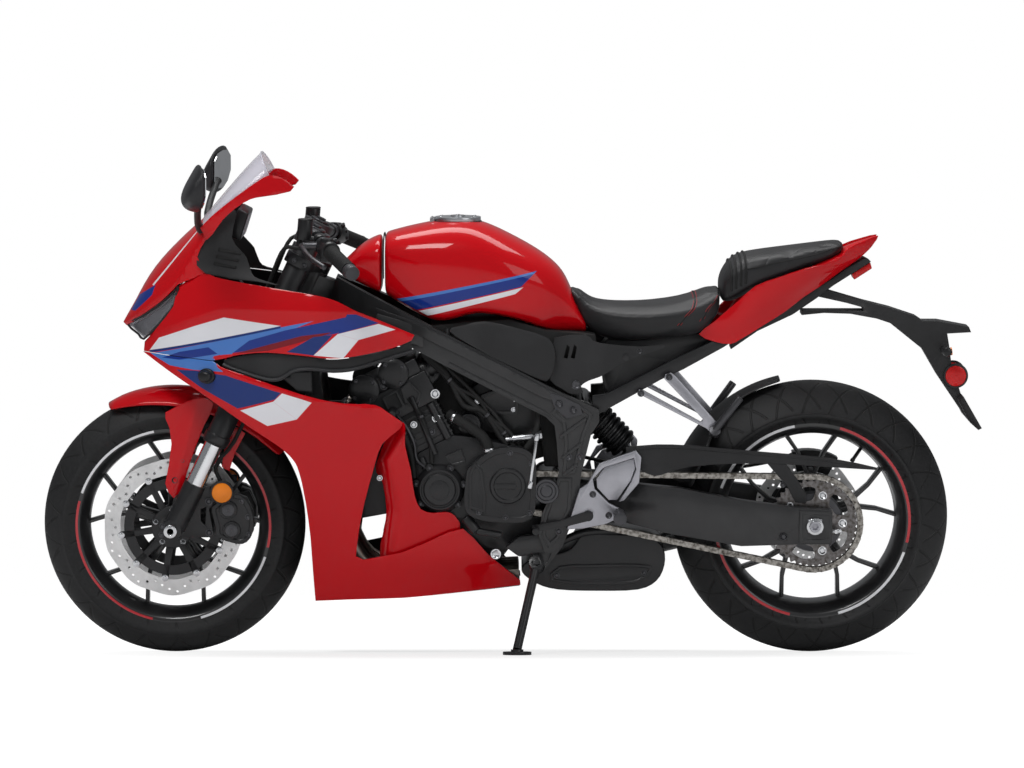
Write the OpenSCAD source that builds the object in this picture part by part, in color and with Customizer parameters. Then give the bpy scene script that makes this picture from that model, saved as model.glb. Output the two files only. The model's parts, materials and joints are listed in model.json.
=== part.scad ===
// Sport bike, parked on its side stand.
// Bike frame: X points rearward, Y to the right, Z up, and Y = 0 is the middle plane.
// on_stand() leans the bike to the left and puts the bottom centre of its box at the origin.

/* [Stance] */
// Distance between the two wheel axles
wheelbase = 1450; // [1430:10:1750]
// Lean to the left on the side stand, in degrees
lean = 9; // [8:0.5:10]
// Station of the front axle, ahead of the datum
front_x = -725; // [-730:5:-720]

/* [Wheels] */
// Radius of the front tyre at its crown
front_tyre_r = 298; // [294:1:300]
// Width of the front tyre
front_tyre_w = 120; // [110:2:122]
// Radius of the front tread across the wheel
front_crown_r = 60; // [60:1:66]
// Width between the front rim flanges
front_rim_w = 89; // [84:1:92]
// Radius of the rear tyre at its crown
rear_tyre_r = 313; // [308:1:316]
// Width of the rear tyre
rear_tyre_w = 180; // [160:2:182]
// Radius of the rear tread across the wheel
rear_crown_r = 95; // [92:1:100]
// Width between the rear rim flanges
rear_rim_w = 140; // [130:1:144]
// Radius of the bead seats of both rims
bead_r = 216; // [214:1:218]
// Radius of the rim flanges
flange_r = 228; // [225:1:229]
// Inside radius of the rim barrels
rim_inner_r = 199; // [195:1:201]
// Thickness of the tyre walls
tyre_wall = 9; // [6:1:12]
// Number of forked spokes in a wheel
spokes = 5; // [3:1:7]
// Thickness of the front spokes along the axle
front_spoke_t = 24; // [18:1:30]
// Thickness of the rear spokes along the axle
rear_spoke_t = 30; // [20:1:40]

/* [Axles and brakes] */
// Radius of the front axle
front_axle_r = 10; // [9:0.5:12]
// Radius of the bore through the front axle
front_axle_bore = 7; // [5:0.5:8]
// Radius of the rear axle
rear_axle_r = 12.5; // [11:0.5:14]
// Radius of the bore through the rear axle
rear_axle_bore = 8; // [6:0.5:9]
// Radius of the front brake discs
front_disc_r = 155; // [145:1:160]
// Inner radius of the front friction bands
front_band_r = 118; // [110:1:122]
// Offset of the front discs from the middle plane
front_disc_y = 66; // [64:0.5:67]
// Thickness of the brake discs
disc_t = 5; // [4:0.5:6]
// Radius of the rear brake disc
rear_disc_r = 120; // [110:1:125]
// Offset of the rear disc from the middle plane
rear_disc_y = 99; // [98:0.5:101]

/* [Steering] */
// Steering head angle from the vertical, in degrees
rake = 25.5; // [24:0.5:26]
// Offset of the fork legs ahead of the steering axis
yoke_offset = 32; // [28:1:34]
// Lead of the axle ahead of the fork legs
axle_lead = 4.7; // [3:0.1:6]
// Distance of each fork leg from the middle plane
fork_y = 104; // [103:0.5:106]
// Radius of the outer fork tubes
outer_tube_r = 27; // [25:0.5:28]
// Radius of the inner fork tubes
inner_tube_r = 20.5; // [19:0.5:21.5]
// Length along the steering axis from the axle up to the outer tubes
outer_tube_from = 225; // [215:1:240]
// Length along the steering axis from the axle up to the top of the tubes
outer_tube_to = 757; // [750:1:765]
// Height of the lower yoke's underside along the steering axis
lower_yoke_z = 470; // [465:1:475]
// Thickness of the lower yoke
lower_yoke_t = 35; // [30:1:38]
// Height of the upper yoke's underside along the steering axis
upper_yoke_z = 665; // [660:1:670]
// Thickness of the upper yoke
upper_yoke_t = 25; // [20:1:30]
// Radius of the steering stem
stem_r = 15; // [14:0.5:17]
// Radius of the hole in the foot of the stem
stem_hole_r = 8.5; // [7:0.5:9]
// Outer radius of the steering head tube
head_tube_r = 36; // [32:1:38]

/* [Handlebars] */
// Radius of the bars
bar_r = 11; // [10:0.5:12]
// Radius of the grips
grip_r = 17; // [15:0.5:19]
// Length of each bar from its clamp
bar_length = 245; // [230:5:250]
// Length of the grips
grip_length = 118; // [100:2:120]

/* [Frame and swingarm] */
// Inner face of the frame's side plates
plate_in = 118; // [118:0.5:121]
// Thickness of the frame's side plates
plate_t = 18; // [14:1:20]
// Station of the swingarm pivot
pivot_x = 125; // [122:1:128]
// Height of the swingarm pivot
pivot_z = 390; // [388:1:392]
// Radius of the swingarm pivot shaft
pivot_r = 12.5; // [10:0.5:14]
// Radius of the swingarm's pivot tube
pivot_tube_r = 26; // [22:1:27]
// Inner face of the swingarm at the axle
arm_in = 122; // [120:0.5:124]
// Thickness of the swingarm at the axle
arm_t = 26; // [22:1:30]

/* [Chain drive] */
// Pitch radius of the rear sprocket
rear_sprocket_r = 106; // [102:1:108]
// Pitch radius of the front sprocket
front_sprocket_r = 38; // [34:1:39]
// Station of the front sprocket
front_sprocket_x = 40; // [36:1:42]
// Offset of the chain from the middle plane
chain_y = 106; // [105.5:0.5:106.5]
// Width of the chain
chain_w = 18; // [15:1:18]
// Height of the chain's plates
chain_h = 15; // [12:1:16]
// Thickness of the sprockets
sprocket_t = 6; // [4:0.5:6]

/* [Side stand] */
// Station of the stand's pivot
stand_x = 100; // [95:1:105]
// Offset of the stand's pivot from the middle plane
stand_y = 134; // [130:1:138]
// Height of the stand's pivot
stand_z = 225; // [220:1:230]
// Splay of the stand's swing plane from the bike's middle plane, in degrees
stand_splay = 33; // [30:1:36]
// Forward angle of the lowered leg, in degrees
stand_forward = 12; // [8:1:15]
// Radius of the leg
stand_leg_r = 10; // [8:0.5:12]
// Radius of the pivot bolt
stand_pin_r = 7; // [5:0.5:8]
// Radius of the foot pad
stand_foot_r = 32; // [25:1:35]

/* [Bodywork] */
// Thickness of the fairing panels
panel_t = 4; // [3:0.5:5]
// Inward slope of the lower fairing, in degrees
tuck = 12; // [10:0.5:13]
// Thickness of the windscreen
screen_t = 3; // [2.5:0.5:4]
// Clearance between the front tyre and its fender
fender_gap = 14; // [10:1:18]
// Clearance between the rear tyre and its hugger
hugger_gap = 14; // [10:1:20]
// Radius of the fuel filler neck
filler_r = 24; // [20:1:26]
// Radius of the fuel cap
cap_r = 52; // [45:1:54]
// Reach of the mirrors from the middle plane
mirror_y = 398; // [390:1:405]
// Height of the middle of the mirrors
mirror_z = 1095; // [1085:1:1100]

/* [Clearances] */
// Gap between pieces that rest on each other
seat_gap = 0.25; // [0.2:0.05:0.4]
// Radial gap of a shaft in a turning bore
run_gap = 0.08; // [0.05:0.01:0.1]
// Side gap of a wheel between its spacers
side_gap = 0.8; // [0.5:0.1:1.5]

/* [Hidden] */
$fn = 64;

red_paint = [0.78, 0.04, 0.07];
white_paint = [0.93, 0.93, 0.95];
black_metal = [0.10, 0.10, 0.11];
black_plastic = [0.14, 0.14, 0.15];
rubber = [0.06, 0.06, 0.06];
silver = [0.72, 0.73, 0.75];
steel = [0.55, 0.56, 0.58];
gold = [0.70, 0.60, 0.38];
frame_grey = [0.20, 0.20, 0.22];

// Wheel centres. The tyres' crowns, not their edges, stay on the floor when the bike leans.
function resting_height(r, crown) = r - crown + crown / cos(lean);
rear_x = front_x + wheelbase;
front_z = resting_height(front_tyre_r, front_crown_r);
rear_z = resting_height(rear_tyre_r, rear_crown_r);
middle_rear_x = 725;
rear_grow = rear_x - middle_rear_x;
plate_out = plate_in + plate_t;
chain_out = chain_y + chain_w / 2;
chain_in = chain_y - chain_w / 2;

// The tail grows with the wheelbase, behind this station.
stretch_from = 300;
function stretched(x) = x + max(0, x - stretch_from) / (middle_rear_x - stretch_from) * rear_grow;
function tail_line(p) = [for (q = p) [stretched(q[0]), q[1]]];

// Middle of the bike's box, which becomes the origin.
tail_end = 1104;
box_mid_x = (front_x - front_tyre_r + stretched(tail_end)) / 2;
box_mid_y = -mirror_z * sin(lean);

module on_stand() translate([-box_mid_x, -box_mid_y, 0]) rotate([lean, 0, 0]) children();

// ---- general functions ----
function lerp(a, b, t) = a + (b - a) * t;
function unit(v) = v / norm(v);
function polar(r, a) = r * [cos(a), sin(a)];
function arc(r, a0, a1, n, c = [0, 0]) = [for (i = [0:n]) c + polar(r, lerp(a0, a1, i / n))];
function reversed(p) = [for (i = [len(p) - 1:-1:0]) p[i]];
function flipped(p) = [for (q = reversed(p)) [q[0], -q[1]]];
function spline(p0, p1, p2, p3, t) =
    0.5 * (2 * p1 + (p2 - p0) * t + (2 * p0 - 5 * p1 + 4 * p2 - p3) * t * t
    + (3 * p1 - p0 - 3 * p2 + p3) * t * t * t);
function smooth(p, n) = concat(
    [for (i = [0:len(p) - 2], k = [0:n - 1])
        spline(p[max(0, i - 1)], p[i], p[i + 1], p[min(len(p) - 1, i + 2)], k / n)],
    [p[len(p) - 1]]);

// ---- general shapes ----
module pair() {
    children();
    mirror([0, 1, 0]) children();
}

// Outline in [x, z], between two offsets y.
module side_prism(outline, y0, y1)
    translate([0, y1, 0]) rotate([90, 0, 0]) linear_extrude(y1 - y0) polygon(outline);

// Outline in [x, y], between two heights.
module plan_prism(outline, z0, z1)
    translate([0, 0, z0]) linear_extrude(z1 - z0) polygon(outline);

// Cylinder along Y, centred on station x and height z.
module rod(x, z, r, y0, y1)
    translate([x, y0, z]) rotate([-90, 0, 0]) cylinder(r = r, h = y1 - y0);

// Stands children on the line from a to b, with their Z axis along it.
module along(a, b) {
    d = b - a;
    translate(a) rotate([0, acos(d[2] / norm(d)), atan2(d[1], d[0])]) children();
}

module bar(a, b, r) along(a, b) cylinder(r = r, h = norm(b - a));

module solid(points, tris) {
    volumes = [for (f = tris) points[f[0]] * cross(points[f[1]], points[f[2]])];
    inside_out = volumes * [for (v = volumes) 1] > 0;
    polyhedron(points, inside_out ? [for (f = tris) [f[0], f[2], f[1]]] : tris);
}

// Closed body through rings of equal length.
module loft(rings) {
    n = len(rings);
    m = len(rings[0]);
    centre = [for (r = [rings[0], rings[n - 1]]) [for (_ = r) 1] * r / m];
    solid(concat([for (r = rings) each r], centre), concat(
        [for (i = [0:n - 2], j = [0:m - 1]) [i * m + j, i * m + (j + 1) % m, (i + 1) * m + (j + 1) % m]],
        [for (i = [0:n - 2], j = [0:m - 1]) [i * m + j, (i + 1) * m + (j + 1) % m, (i + 1) * m + j]],
        [for (j = [0:m - 1]) [n * m, (j + 1) % m, j]],
        [for (j = [0:m - 1]) [n * m + 1, (n - 1) * m + j, (n - 1) * m + (j + 1) % m]]));
}

// Wall between two grids of points.
module sheet(outer, inner) {
    n = len(outer);
    m = len(outer[0]);
    k = n * m;
    e = k - m;
    quads = concat(
        [for (i = [0:n - 2], j = [0:m - 2]) [i * m + j, i * m + j + 1, (i + 1) * m + j + 1,
        (i + 1) * m + j]],
        [for (i = [0:n - 2], j = [0:m - 2])
            [k + i * m + j, k + (i + 1) * m + j, k + (i + 1) * m + j + 1, k + i * m + j + 1]],
        [for (i = [0:n - 2]) [i * m, (i + 1) * m, k + (i + 1) * m, k + i * m]],
        [for (i = [1:n - 1]) [i * m - 1, k + i * m - 1, k + (i + 1) * m - 1, (i + 1) * m - 1]],
        [for (j = [0:m - 2]) [j, k + j, k + j + 1, j + 1]],
        [for (j = [0:m - 2]) [e + j, e + j + 1, k + e + j + 1, k + e + j]]);
    solid(concat([for (r = outer) each r], [for (r = inner) each r]),
        [for (q = quads) each [[q[0], q[1], q[2]], [q[0], q[2], q[3]]]]);
}

// Round tube along a path. ref is any direction that the path never follows.
module hose(path, r, ref = [0, 1, 0], sides = 10) {
    last = len(path) - 1;
    loft([for (i = [0:last])
        let (t = unit(path[min(last, i + 1)] - path[max(0, i - 1)]), u = unit(cross(ref, t)),
        v = cross(t, u))
        [for (k = [0:sides - 1]) path[i] + r * (cos(360 * k / sides) * u + sin(360 * k / sides) * v)]]);
}

// Left-hand panel between two edges of [x, z] points, on the surface y = -half(x, z).
module panel(edge_a, edge_b, half, wall = panel_t, steps = 3) {
    outer = [for (i = [0:len(edge_a) - 1]) [for (k = [0:steps])
        let (p = lerp(edge_a[i], edge_b[i], k / steps)) [p[0], -half(p[0], p[1]), p[1]]]];
    sheet(outer, [for (row = outer) [for (q = row) q + [0, wall, 0]]]);
}

// Shell arched from a crest of [x, z] points down to an edge of [x, y, z] points on both sides.
function arched(crest, edge, pull, steps) = [for (i = [0:len(crest) - 1]) [for (k = [-steps:steps])
    let (
        a = 90 * abs(k) / steps,
        s = k < 0 ? -1 : 1,
        down = unit([edge[i][0], edge[i][2]] - crest[i]) * pull * cos(a),
        p = lerp(crest[i], [edge[i][0], edge[i][2]], 1 - cos(a)) + down)
    [p[0], s * (edge[i][1] - pull) * sin(a), p[1]]]];
module arch(crest, edge, wall, steps = 6)
    sheet(arched(crest, edge, 0, steps), arched(crest, edge, wall, steps));

// Closed form through stations of [x, top, shoulder, bottom, half width, half width at the bottom].
module dome(stations, steps = 5)
    loft([for (s = stations) concat(
        [for (k = [-steps:steps]) [s[0], s[4] * sin(90 * k / steps), lerp(s[2], s[1],
        cos(90 * k / steps))]],
        [[s[0], s[5], s[3]], [s[0], -s[5], s[3]]])]);

// ---- wheels ----
module at_front_axle() translate([front_x, 0, front_z]) rotate([90, 0, 0]) children();
module at_rear_axle() translate([rear_x, 0, rear_z]) rotate([90, 0, 0]) children();

// Tyre: a crowned tread, walls down to the rim's flanges and a hollow inside.
function tyre_bead(w, rim_w) = [[flange_r + 8, w / 2 - 2], [flange_r + seat_gap, rim_w / 2 + 7],
    [flange_r + seat_gap, rim_w / 2 - seat_gap], [bead_r + seat_gap, rim_w / 2 - seat_gap],
    [bead_r + seat_gap, rim_w / 2 - 13], [flange_r + 4, rim_w / 2 - 11]];
module tyre(r, w, crown, rim_w) {
    edge = asin(w / 2 / crown);
    bead = tyre_bead(w, rim_w);
    rotate_extrude($fn = 96) polygon(concat(
        arc(crown, -edge, edge, 20, [r - crown, 0]), bead,
        arc(crown - tyre_wall, edge - 8, 8 - edge, 12, [r - crown, 0]), flipped(bead)));
}

module front_tyre()
    color(rubber) at_front_axle() tyre(front_tyre_r, front_tyre_w, front_crown_r, front_rim_w);

module rear_tyre()
    color(rubber) at_rear_axle() tyre(rear_tyre_r, rear_tyre_w, rear_crown_r, rear_rim_w);

// Rim barrel: flange, bead seat and drop centre outside, a plain barrel inside.
module rim_barrel(rim_w) {
    lip = rim_w / 2;
    side = [[rim_inner_r + 6, 12], [bead_r, lip - 16], [bead_r, lip], [flange_r, lip],
        [flange_r, lip + 5],
        [flange_r - 6, lip + 5], [rim_inner_r + 9, lip + 1], [rim_inner_r, lip - 9]];
    rotate_extrude($fn = 96) polygon(concat(side, flipped(side)));
}

// One spoke that forks at its middle, in the wheel's plane.
spoke_fork = 18;
module spoke_outline() {
    tip = rim_inner_r + 3;
    side = [[20, 16], [60, 12], [112, 12], [150, 36], polar(tip, spoke_fork + 2.2), polar(tip,
        spoke_fork - 2.2),
        [152, 22]];
    polygon(concat(side, [[134, 0]], flipped(side)));
}

first_spoke = 18;
module spoke_set(t)
    for (i = [0:spokes - 1])
        rotate([0, 0, first_spoke + 360 / spokes * i]) translate([0, 0,
        -t / 2]) linear_extrude(t) spoke_outline();

front_hub_half = front_disc_y - disc_t / 2 - seat_gap;
front_hub_spigot = 34;
module front_wheel_rim()
    color(black_metal) at_front_axle() difference() {
        union() {
            rim_barrel(front_rim_w);
            spoke_set(front_spoke_t);
            cylinder(r = 48, h = 2 * front_hub_half, center = true);
            cylinder(r = front_hub_spigot, h = 2 * front_hub_half + 2 * disc_t + 2, center = true);
        }
        cylinder(r = front_axle_r + run_gap, h = 200, center = true);
    }

// Friction band on a spider whose arms reach the hub.
module brake_disc(outer_r, band_r, hub_r, arms)
    difference() {
        union() {
            difference() {
                cylinder(r = outer_r, h = disc_t, center = true);
                cylinder(r = band_r, h = 2 * disc_t, center = true);
            }
            cylinder(r = hub_r + 13, h = disc_t - 0.5, center = true);
            for (i = [0:arms - 1])
                rotate([0, 0, 360 / arms * i + 9])
                    translate([hub_r + 5, -5, 0.5 - disc_t / 2]) cube([band_r - hub_r - 2, 10,
                    disc_t - 1]);
        }
        cylinder(r = hub_r + seat_gap, h = 2 * disc_t, center = true);
    }

module front_discs()
    color(steel) pair() translate([0, -front_disc_y, 0]) at_front_axle()
        brake_disc(front_disc_r, front_band_r, front_hub_spigot, 10);

rear_hub_left = chain_y - sprocket_t / 2 - seat_gap;
rear_hub_right = rear_disc_y - disc_t / 2 - seat_gap;
rear_spigot_r = 32;
module rear_wheel_rim()
    color(black_metal) at_rear_axle() difference() {
        union() {
            rim_barrel(rear_rim_w);
            spoke_set(rear_spoke_t);
            translate([0, 0, -rear_hub_right]) cylinder(r = 44, h = rear_hub_right + 20);
            cylinder(r = 62, h = rear_hub_left);
            translate([0, 0, -rear_hub_right - disc_t - 2]) cylinder(r = rear_spigot_r, h = 60);
            cylinder(r = rear_spigot_r, h = rear_hub_left + sprocket_t + 2);
        }
        cylinder(r = rear_axle_r + run_gap, h = 260, center = true);
    }

module rear_disc()
    color(steel) translate([0, rear_disc_y, 0]) at_rear_axle() brake_disc(rear_disc_r, 88,
        rear_spigot_r, 5);

sprocket_tip = rear_sprocket_r + 4;
module rear_sprocket()
    color(steel) translate([0, -chain_y, 0]) at_rear_axle() difference() {
        cylinder(r = sprocket_tip, h = sprocket_t, center = true, $fn = 84);
        cylinder(r = rear_spigot_r + seat_gap, h = 20, center = true);
        for (i = [0:4])
            rotate([0, 0, 72 * i + 36]) translate([78, 0, -10]) cylinder(r = 14, h = 20);
    }

// ---- steering ----
// Foot of the steering axis, beside the front axle.
steer_lead = yoke_offset + axle_lead;
steer_foot = [front_x + steer_lead * cos(rake), 0, front_z - steer_lead * sin(rake)];
module steering_frame() translate(steer_foot) rotate([0, rake, 0]) children();
function steering_point(p) = steer_foot
    + [p[0] * cos(rake) + p[2] * sin(rake), p[1], -p[0] * sin(rake) + p[2] * cos(rake)];

function steering_at(lx, lz) = let (p = steering_point([lx, 0, lz])) [p[0], p[2]];

// Cylinder along a fork leg on the left, between two lengths along the steering axis.
module leg_cylinder(r, z0, z1)
    steering_frame() translate([-yoke_offset, -fork_y, z0]) cylinder(r = r, h = z1 - z0);

leg_foot_r = 25;
axle_reach = fork_y + leg_foot_r + 2 * seat_gap;
leg_foot_in = fork_y - leg_foot_r;
module front_axle()
    color(silver) difference() {
        union() {
            rod(front_x, front_z, front_axle_r, -axle_reach, axle_reach);
            rod(front_x, front_z, 15, -axle_reach - 6, -axle_reach);
            rod(front_x, front_z, 14, axle_reach, axle_reach + 6);
            pair() rod(front_x, front_z, 15, -leg_foot_in + seat_gap,
            -front_hub_half - disc_t - 1 - side_gap);
        }
        rod(front_x, front_z, front_axle_bore, -200, 200);
    }

// Inner tubes with the cast feet that hold the axle, the calipers and the reflectors.
slider_top = 395;
caliper_seat_x = front_x + 83;
module fork_sliders()
    color(black_metal) pair() difference() {
        union() {
            leg_cylinder(inner_tube_r, 20, slider_top);
            leg_cylinder(leg_foot_r, 8, 118);
            rod(front_x, front_z, 24, -axle_reach + 1, -leg_foot_in);
            side_prism([[front_x + 5, 280], [caliper_seat_x, 280], [caliper_seat_x, 300],
            [front_x + 66, 318],
                [front_x + 66, 345], [caliper_seat_x, 352], [caliper_seat_x, 372],
                [front_x + 40, 388]], -98, -86);
            side_prism([[front_x + 50, 372], [front_x + 135, 372], [front_x + 135, 394],
            [front_x + 50, 398]],
                -100, -97);
        }
        rod(front_x, front_z, front_axle_r + seat_gap, -200, 0);
    }

module fork_outer_tubes()
    color(black_metal) pair() difference() {
        union() {
            leg_cylinder(outer_tube_r, outer_tube_from, outer_tube_to);
            leg_cylinder(outer_tube_r + 3, outer_tube_from, outer_tube_from + 18);
        }
        leg_cylinder(inner_tube_r + seat_gap, outer_tube_from - 1, slider_top + 1);
    }

// One yoke: a bridge and two clamps around the tubes.
module yoke(z, t) {
    arm = [[20, -30], [20, 30], [-yoke_offset + 34, fork_y], [-yoke_offset - 34, fork_y],
        [-48, 36], [-48, -36],
        [-yoke_offset - 34, -fork_y], [-yoke_offset + 34, -fork_y]];
    translate([0, 0, z]) difference() {
        union() {
            linear_extrude(t) polygon(arm);
            for (s = [-1, 1])
                translate([-yoke_offset, s * fork_y, 0]) cylinder(r = outer_tube_r + 8, h = t);
            cylinder(r = head_tube_r, h = t);
        }
        for (s = [-1, 1])
            translate([-yoke_offset, s * fork_y, -1]) cylinder(r = outer_tube_r + seat_gap, h = t + 2);
    }
}

module triple_clamp()
    color(black_metal) steering_frame() difference() {
        union() {
            yoke(lower_yoke_z, lower_yoke_t);
            yoke(upper_yoke_z, upper_yoke_t);
            translate([0, 0, lower_yoke_z]) cylinder(r = stem_r, h = upper_yoke_z - lower_yoke_z + 1);
            translate([0, 0, upper_yoke_z]) cylinder(r = 17, h = upper_yoke_t + 9, $fn = 6);
        }
        translate([0, 0, lower_yoke_z - 1]) cylinder(r = stem_hole_r, h = lower_yoke_t + 16);
    }

// Bars that leave their clamps outward, rearward and down.
bar_root = steering_point([-yoke_offset + 2, -fork_y - 27, outer_tube_to - 13]);
bar_dir = unit([82, -200, -54]);
function bar_point(s, forward = 0, up = 0) = bar_root + bar_dir * s + [-forward, 0, up];
module on_bar(s0, s1, r) bar(bar_point(s0), bar_point(s1), r);

module handlebars()
    color(black_metal) pair() difference() {
        union() {
            leg_cylinder(outer_tube_r + 9, outer_tube_to - 40, outer_tube_to - 1);
            on_bar(-10, bar_length, bar_r);
            on_bar(-10, 19, 16);
            on_bar(bar_length - 6, bar_length + 18, grip_r - 1);
        }
        leg_cylinder(outer_tube_r + seat_gap, outer_tube_to - 60, outer_tube_to + 5);
    }

grip_from = bar_length - 7 - grip_length;
module grips()
    color(rubber) pair() difference() {
        on_bar(grip_from, grip_from + grip_length, grip_r);
        on_bar(grip_from - 5, bar_length, bar_r + seat_gap);
    }

// Place of the fluid reservoirs along the bars.
reservoir_s = 41;
module switchgear()
    color(black_plastic) pair() difference() {
        union() {
            on_bar(grip_from - 40, grip_from - 1, 22);
            bar(bar_point(grip_from - 22, 4, -26), bar_point(grip_from - 22, 2, 24), 14);
            bar(bar_point(reservoir_s, 34, 4), bar_point(reservoir_s, 30, 48), 17);
            bar(bar_point(reservoir_s + 3, 4, 2), bar_point(reservoir_s + 3, 36, 8), 8);
            on_bar(reservoir_s - 6, reservoir_s + 12, 17);
        }
        on_bar(10, grip_from + 5, bar_r + seat_gap);
    }

// Lever blades ahead of the grips, hinged on perches that clamp the bars.
module control_levers()
    color(black_metal) pair() {
        difference() {
            union() {
                on_bar(grip_from - 60, grip_from - 44, 17);
                bar(bar_point(grip_from - 52), bar_point(grip_from - 50, 46), 8);
            }
            on_bar(grip_from - 70, grip_from, bar_r + seat_gap);
        }
        hose([for (k = [0:8]) bar_point(lerp(grip_from - 52, bar_length - 24, k / 8),
        48 + 9 * sin(180 * k / 8))],
            6, [0, 0, 1], 8);
    }

fender_r = front_tyre_r + fender_gap;
module front_fender() {
    angles = [for (k = [0:14]) lerp(36, 116, k / 14)];
    function rim_point(r, a) = [front_x + r * cos(a), front_z + r * sin(a)];
    crest = [for (a = angles) rim_point(fender_r + panel_t, a)];
    edge = [for (a = angles)
        let (r = fender_r - 26 - 18 * sin(lerp(0, 180, (a - 36) / 80)), p = rim_point(r, a)) [p[0],
        75.5, p[1]]];
    color(red_paint) {
        arch(crest, edge, panel_t);
        pair() side_prism([[front_x - 20, 566], [front_x + 85, 560], [front_x + 45, 470],
        [front_x + 52, 400],
            [front_x + 50, 372], [front_x + 3, 368], [front_x - 8, 410], [front_x - 14, 480]],
            -78.7, -front_disc_y - disc_t / 2 - 5.2);
    }
}

// Ring sector in the wheel's plane.
function sector(r0, r1, a0, a1) = concat(arc(r0, a0, a1, 8), arc(r1, a1, a0, 8));
module front_calipers()
    color(black_metal) pair() difference() {
        union() {
            translate([0, -39, 0]) at_front_axle() linear_extrude(54) polygon(sector(104, 186, -12, 28));
            side_prism([[caliper_seat_x + seat_gap, 282], [caliper_seat_x + 14, 282],
            [caliper_seat_x + 14, 370],
                [caliper_seat_x + seat_gap, 370]], -97, -86);
        }
        translate([0, -front_disc_y + 7.5, 0]) at_front_axle() cylinder(r = front_disc_r + 7, h = 15);
        translate([0, 5, 0]) at_front_axle() cylinder(r = 110, h = 120);
    }

module fork_reflectors()
    color("orange") pair() rod(front_x + 115, 383, 23, -107, -100 - seat_gap);

// Hoses from the calipers to the lower yoke, and from there to the reservoirs.
module brake_hoses() {
    port = [front_x, front_z] + polar(150, 28);
    caliper_port = [port[0], -88, port[1]];
    away = [-sin(28), 0, cos(28)];
    color(rubber) pair() {
        hose(smooth([caliper_port + away * seat_gap, caliper_port + away * 22, [front_x + 100, -90, 442],
            steering_point([6, -92, 240]), steering_point([6, -90, 380]), steering_point([-4, -66,
            466])], 4),
            4.5, [0, 1, 0], 8);
        hose(smooth([steering_point([-64.2, -fork_y, 505.4]), steering_point([-66, -fork_y, 530]),
            steering_point([-76, -104, 620]), steering_point([-76, -134, 690]),
            bar_point(reservoir_s, 44, -16), bar_point(reservoir_s, 43, 3.2)], 4), 4.5, [0, 1, 0], 8);
    }
}

// ---- frame ----
spar_side = [[-352, 866], [-250, 818], [-100, 745], [0, 695], [120, 632], [160, 612], [236, 578],
    [252, 566], [222, 520],
    [200, 430], [190, 350], [160, 270], [140, 250], [118, 252], [105, 290], [112, 340], [140, 400],
        [150, 430],
    [145, 500], [140, 540], [120, 560], [60, 590], [0, 620], [-100, 672], [-180, 714], [-240, 722],
        [-330, 770],
    [-372, 800]];
function spar_half(x) = lookup(x, [[-380, 34], [-345, 46], [-300, 78], [-250, 102], [-200, 120],
    [-120, 134],
    [-40, plate_out], [240, plate_out]]);
spar_stations = [-380, -345, -300, -250, -200, -120, -40, 240];
module spar()
    intersection() {
        side_prism(spar_side, -150, 0);
        plan_prism(concat([for (x = spar_stations) [x, -spar_half(x)]],
            reversed([for (x = spar_stations) [x, -max(12, spar_half(x) - lookup(x, [[-380, 40],
            [-200, 32],
                [-40, plate_t], [240, plate_t]]))]])), 200, 900);
    }

stand_axis = [0, -cos(stand_splay), sin(stand_splay)];
stand_pivot = [stand_x, -stand_y, stand_z];
stand_eye = stand_leg_r + 1;
function stand_dir(fold) = cos(fold - stand_forward) * [0, -sin(stand_splay), -cos(stand_splay)]
    + sin(fold - stand_forward) * [1, 0, 0];

head_from = lower_yoke_z + lower_yoke_t + 1;
head_to = upper_yoke_z - 1;
module main_frame()
    color(frame_grey) difference() {
        union() {
            steering_frame() translate([0, 0, head_from]) cylinder(r = head_tube_r,
            h = head_to - head_from);
            side_prism([steering_at(10, head_from + 6), steering_at(10, head_to - 8), [-330, 846],
            [-250, 800],
                [-250, 760], [-330, 768]], -30, 30);
            pair() spar();
            rod(205, 575, 20, -plate_in - 1, plate_in + 1);
            rod(148, 280, 16, -plate_in - 1, plate_in + 1);
            rod(pivot_x, pivot_z, pivot_r, -plate_out - 2, plate_out + 2);
            pair() rod(pivot_x, pivot_z, pivot_tube_r, -plate_out - 4, -plate_in);
            side_prism([[stand_x - 18, 226], [stand_x - 8, 200], [stand_x + 14, 202], [160, 264],
            [156, 300], [124, 296]],
                -plate_in + 3, -99);
            pair() translate([-100, -113, 725]) cylinder(r = 6, h = 757 - 725 - seat_gap);
            bar(stand_pivot - stand_axis * 26, stand_pivot + stand_axis * (stand_eye + 4), stand_pin_r);
            bar(stand_pivot - stand_axis * 26, stand_pivot - stand_axis * (stand_eye + seat_gap), 15);
        }
        steering_frame() translate([0, 0, head_from - 1])
            cylinder(r = stem_r + run_gap, h = head_to - head_from + 2);
    }

foot_drop = 12;
function floor_height(p) = p[2] * cos(lean) + p[1] * sin(lean);
foot_reach = (foot_drop - floor_height(stand_pivot)) / floor_height(stand_dir(0));
module side_stand() {
    foot = stand_pivot + stand_dir(0) * foot_reach;
    color(black_metal) difference() {
        union() {
            bar(stand_pivot - stand_axis * stand_eye, stand_pivot + stand_axis * stand_eye, 17);
            bar(stand_pivot + stand_dir(0) * 8, foot, stand_leg_r);
            translate(foot) rotate([-lean, 0, 0]) translate([0, 0, -foot_drop]) {
                cylinder(r = stand_foot_r, h = 7);
                cylinder(r = stand_leg_r + 4, h = foot_drop);
            }
        }
        bar(stand_pivot - stand_axis * 20, stand_pivot + stand_axis * 20, stand_pin_r + run_gap);
    }
}

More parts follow.
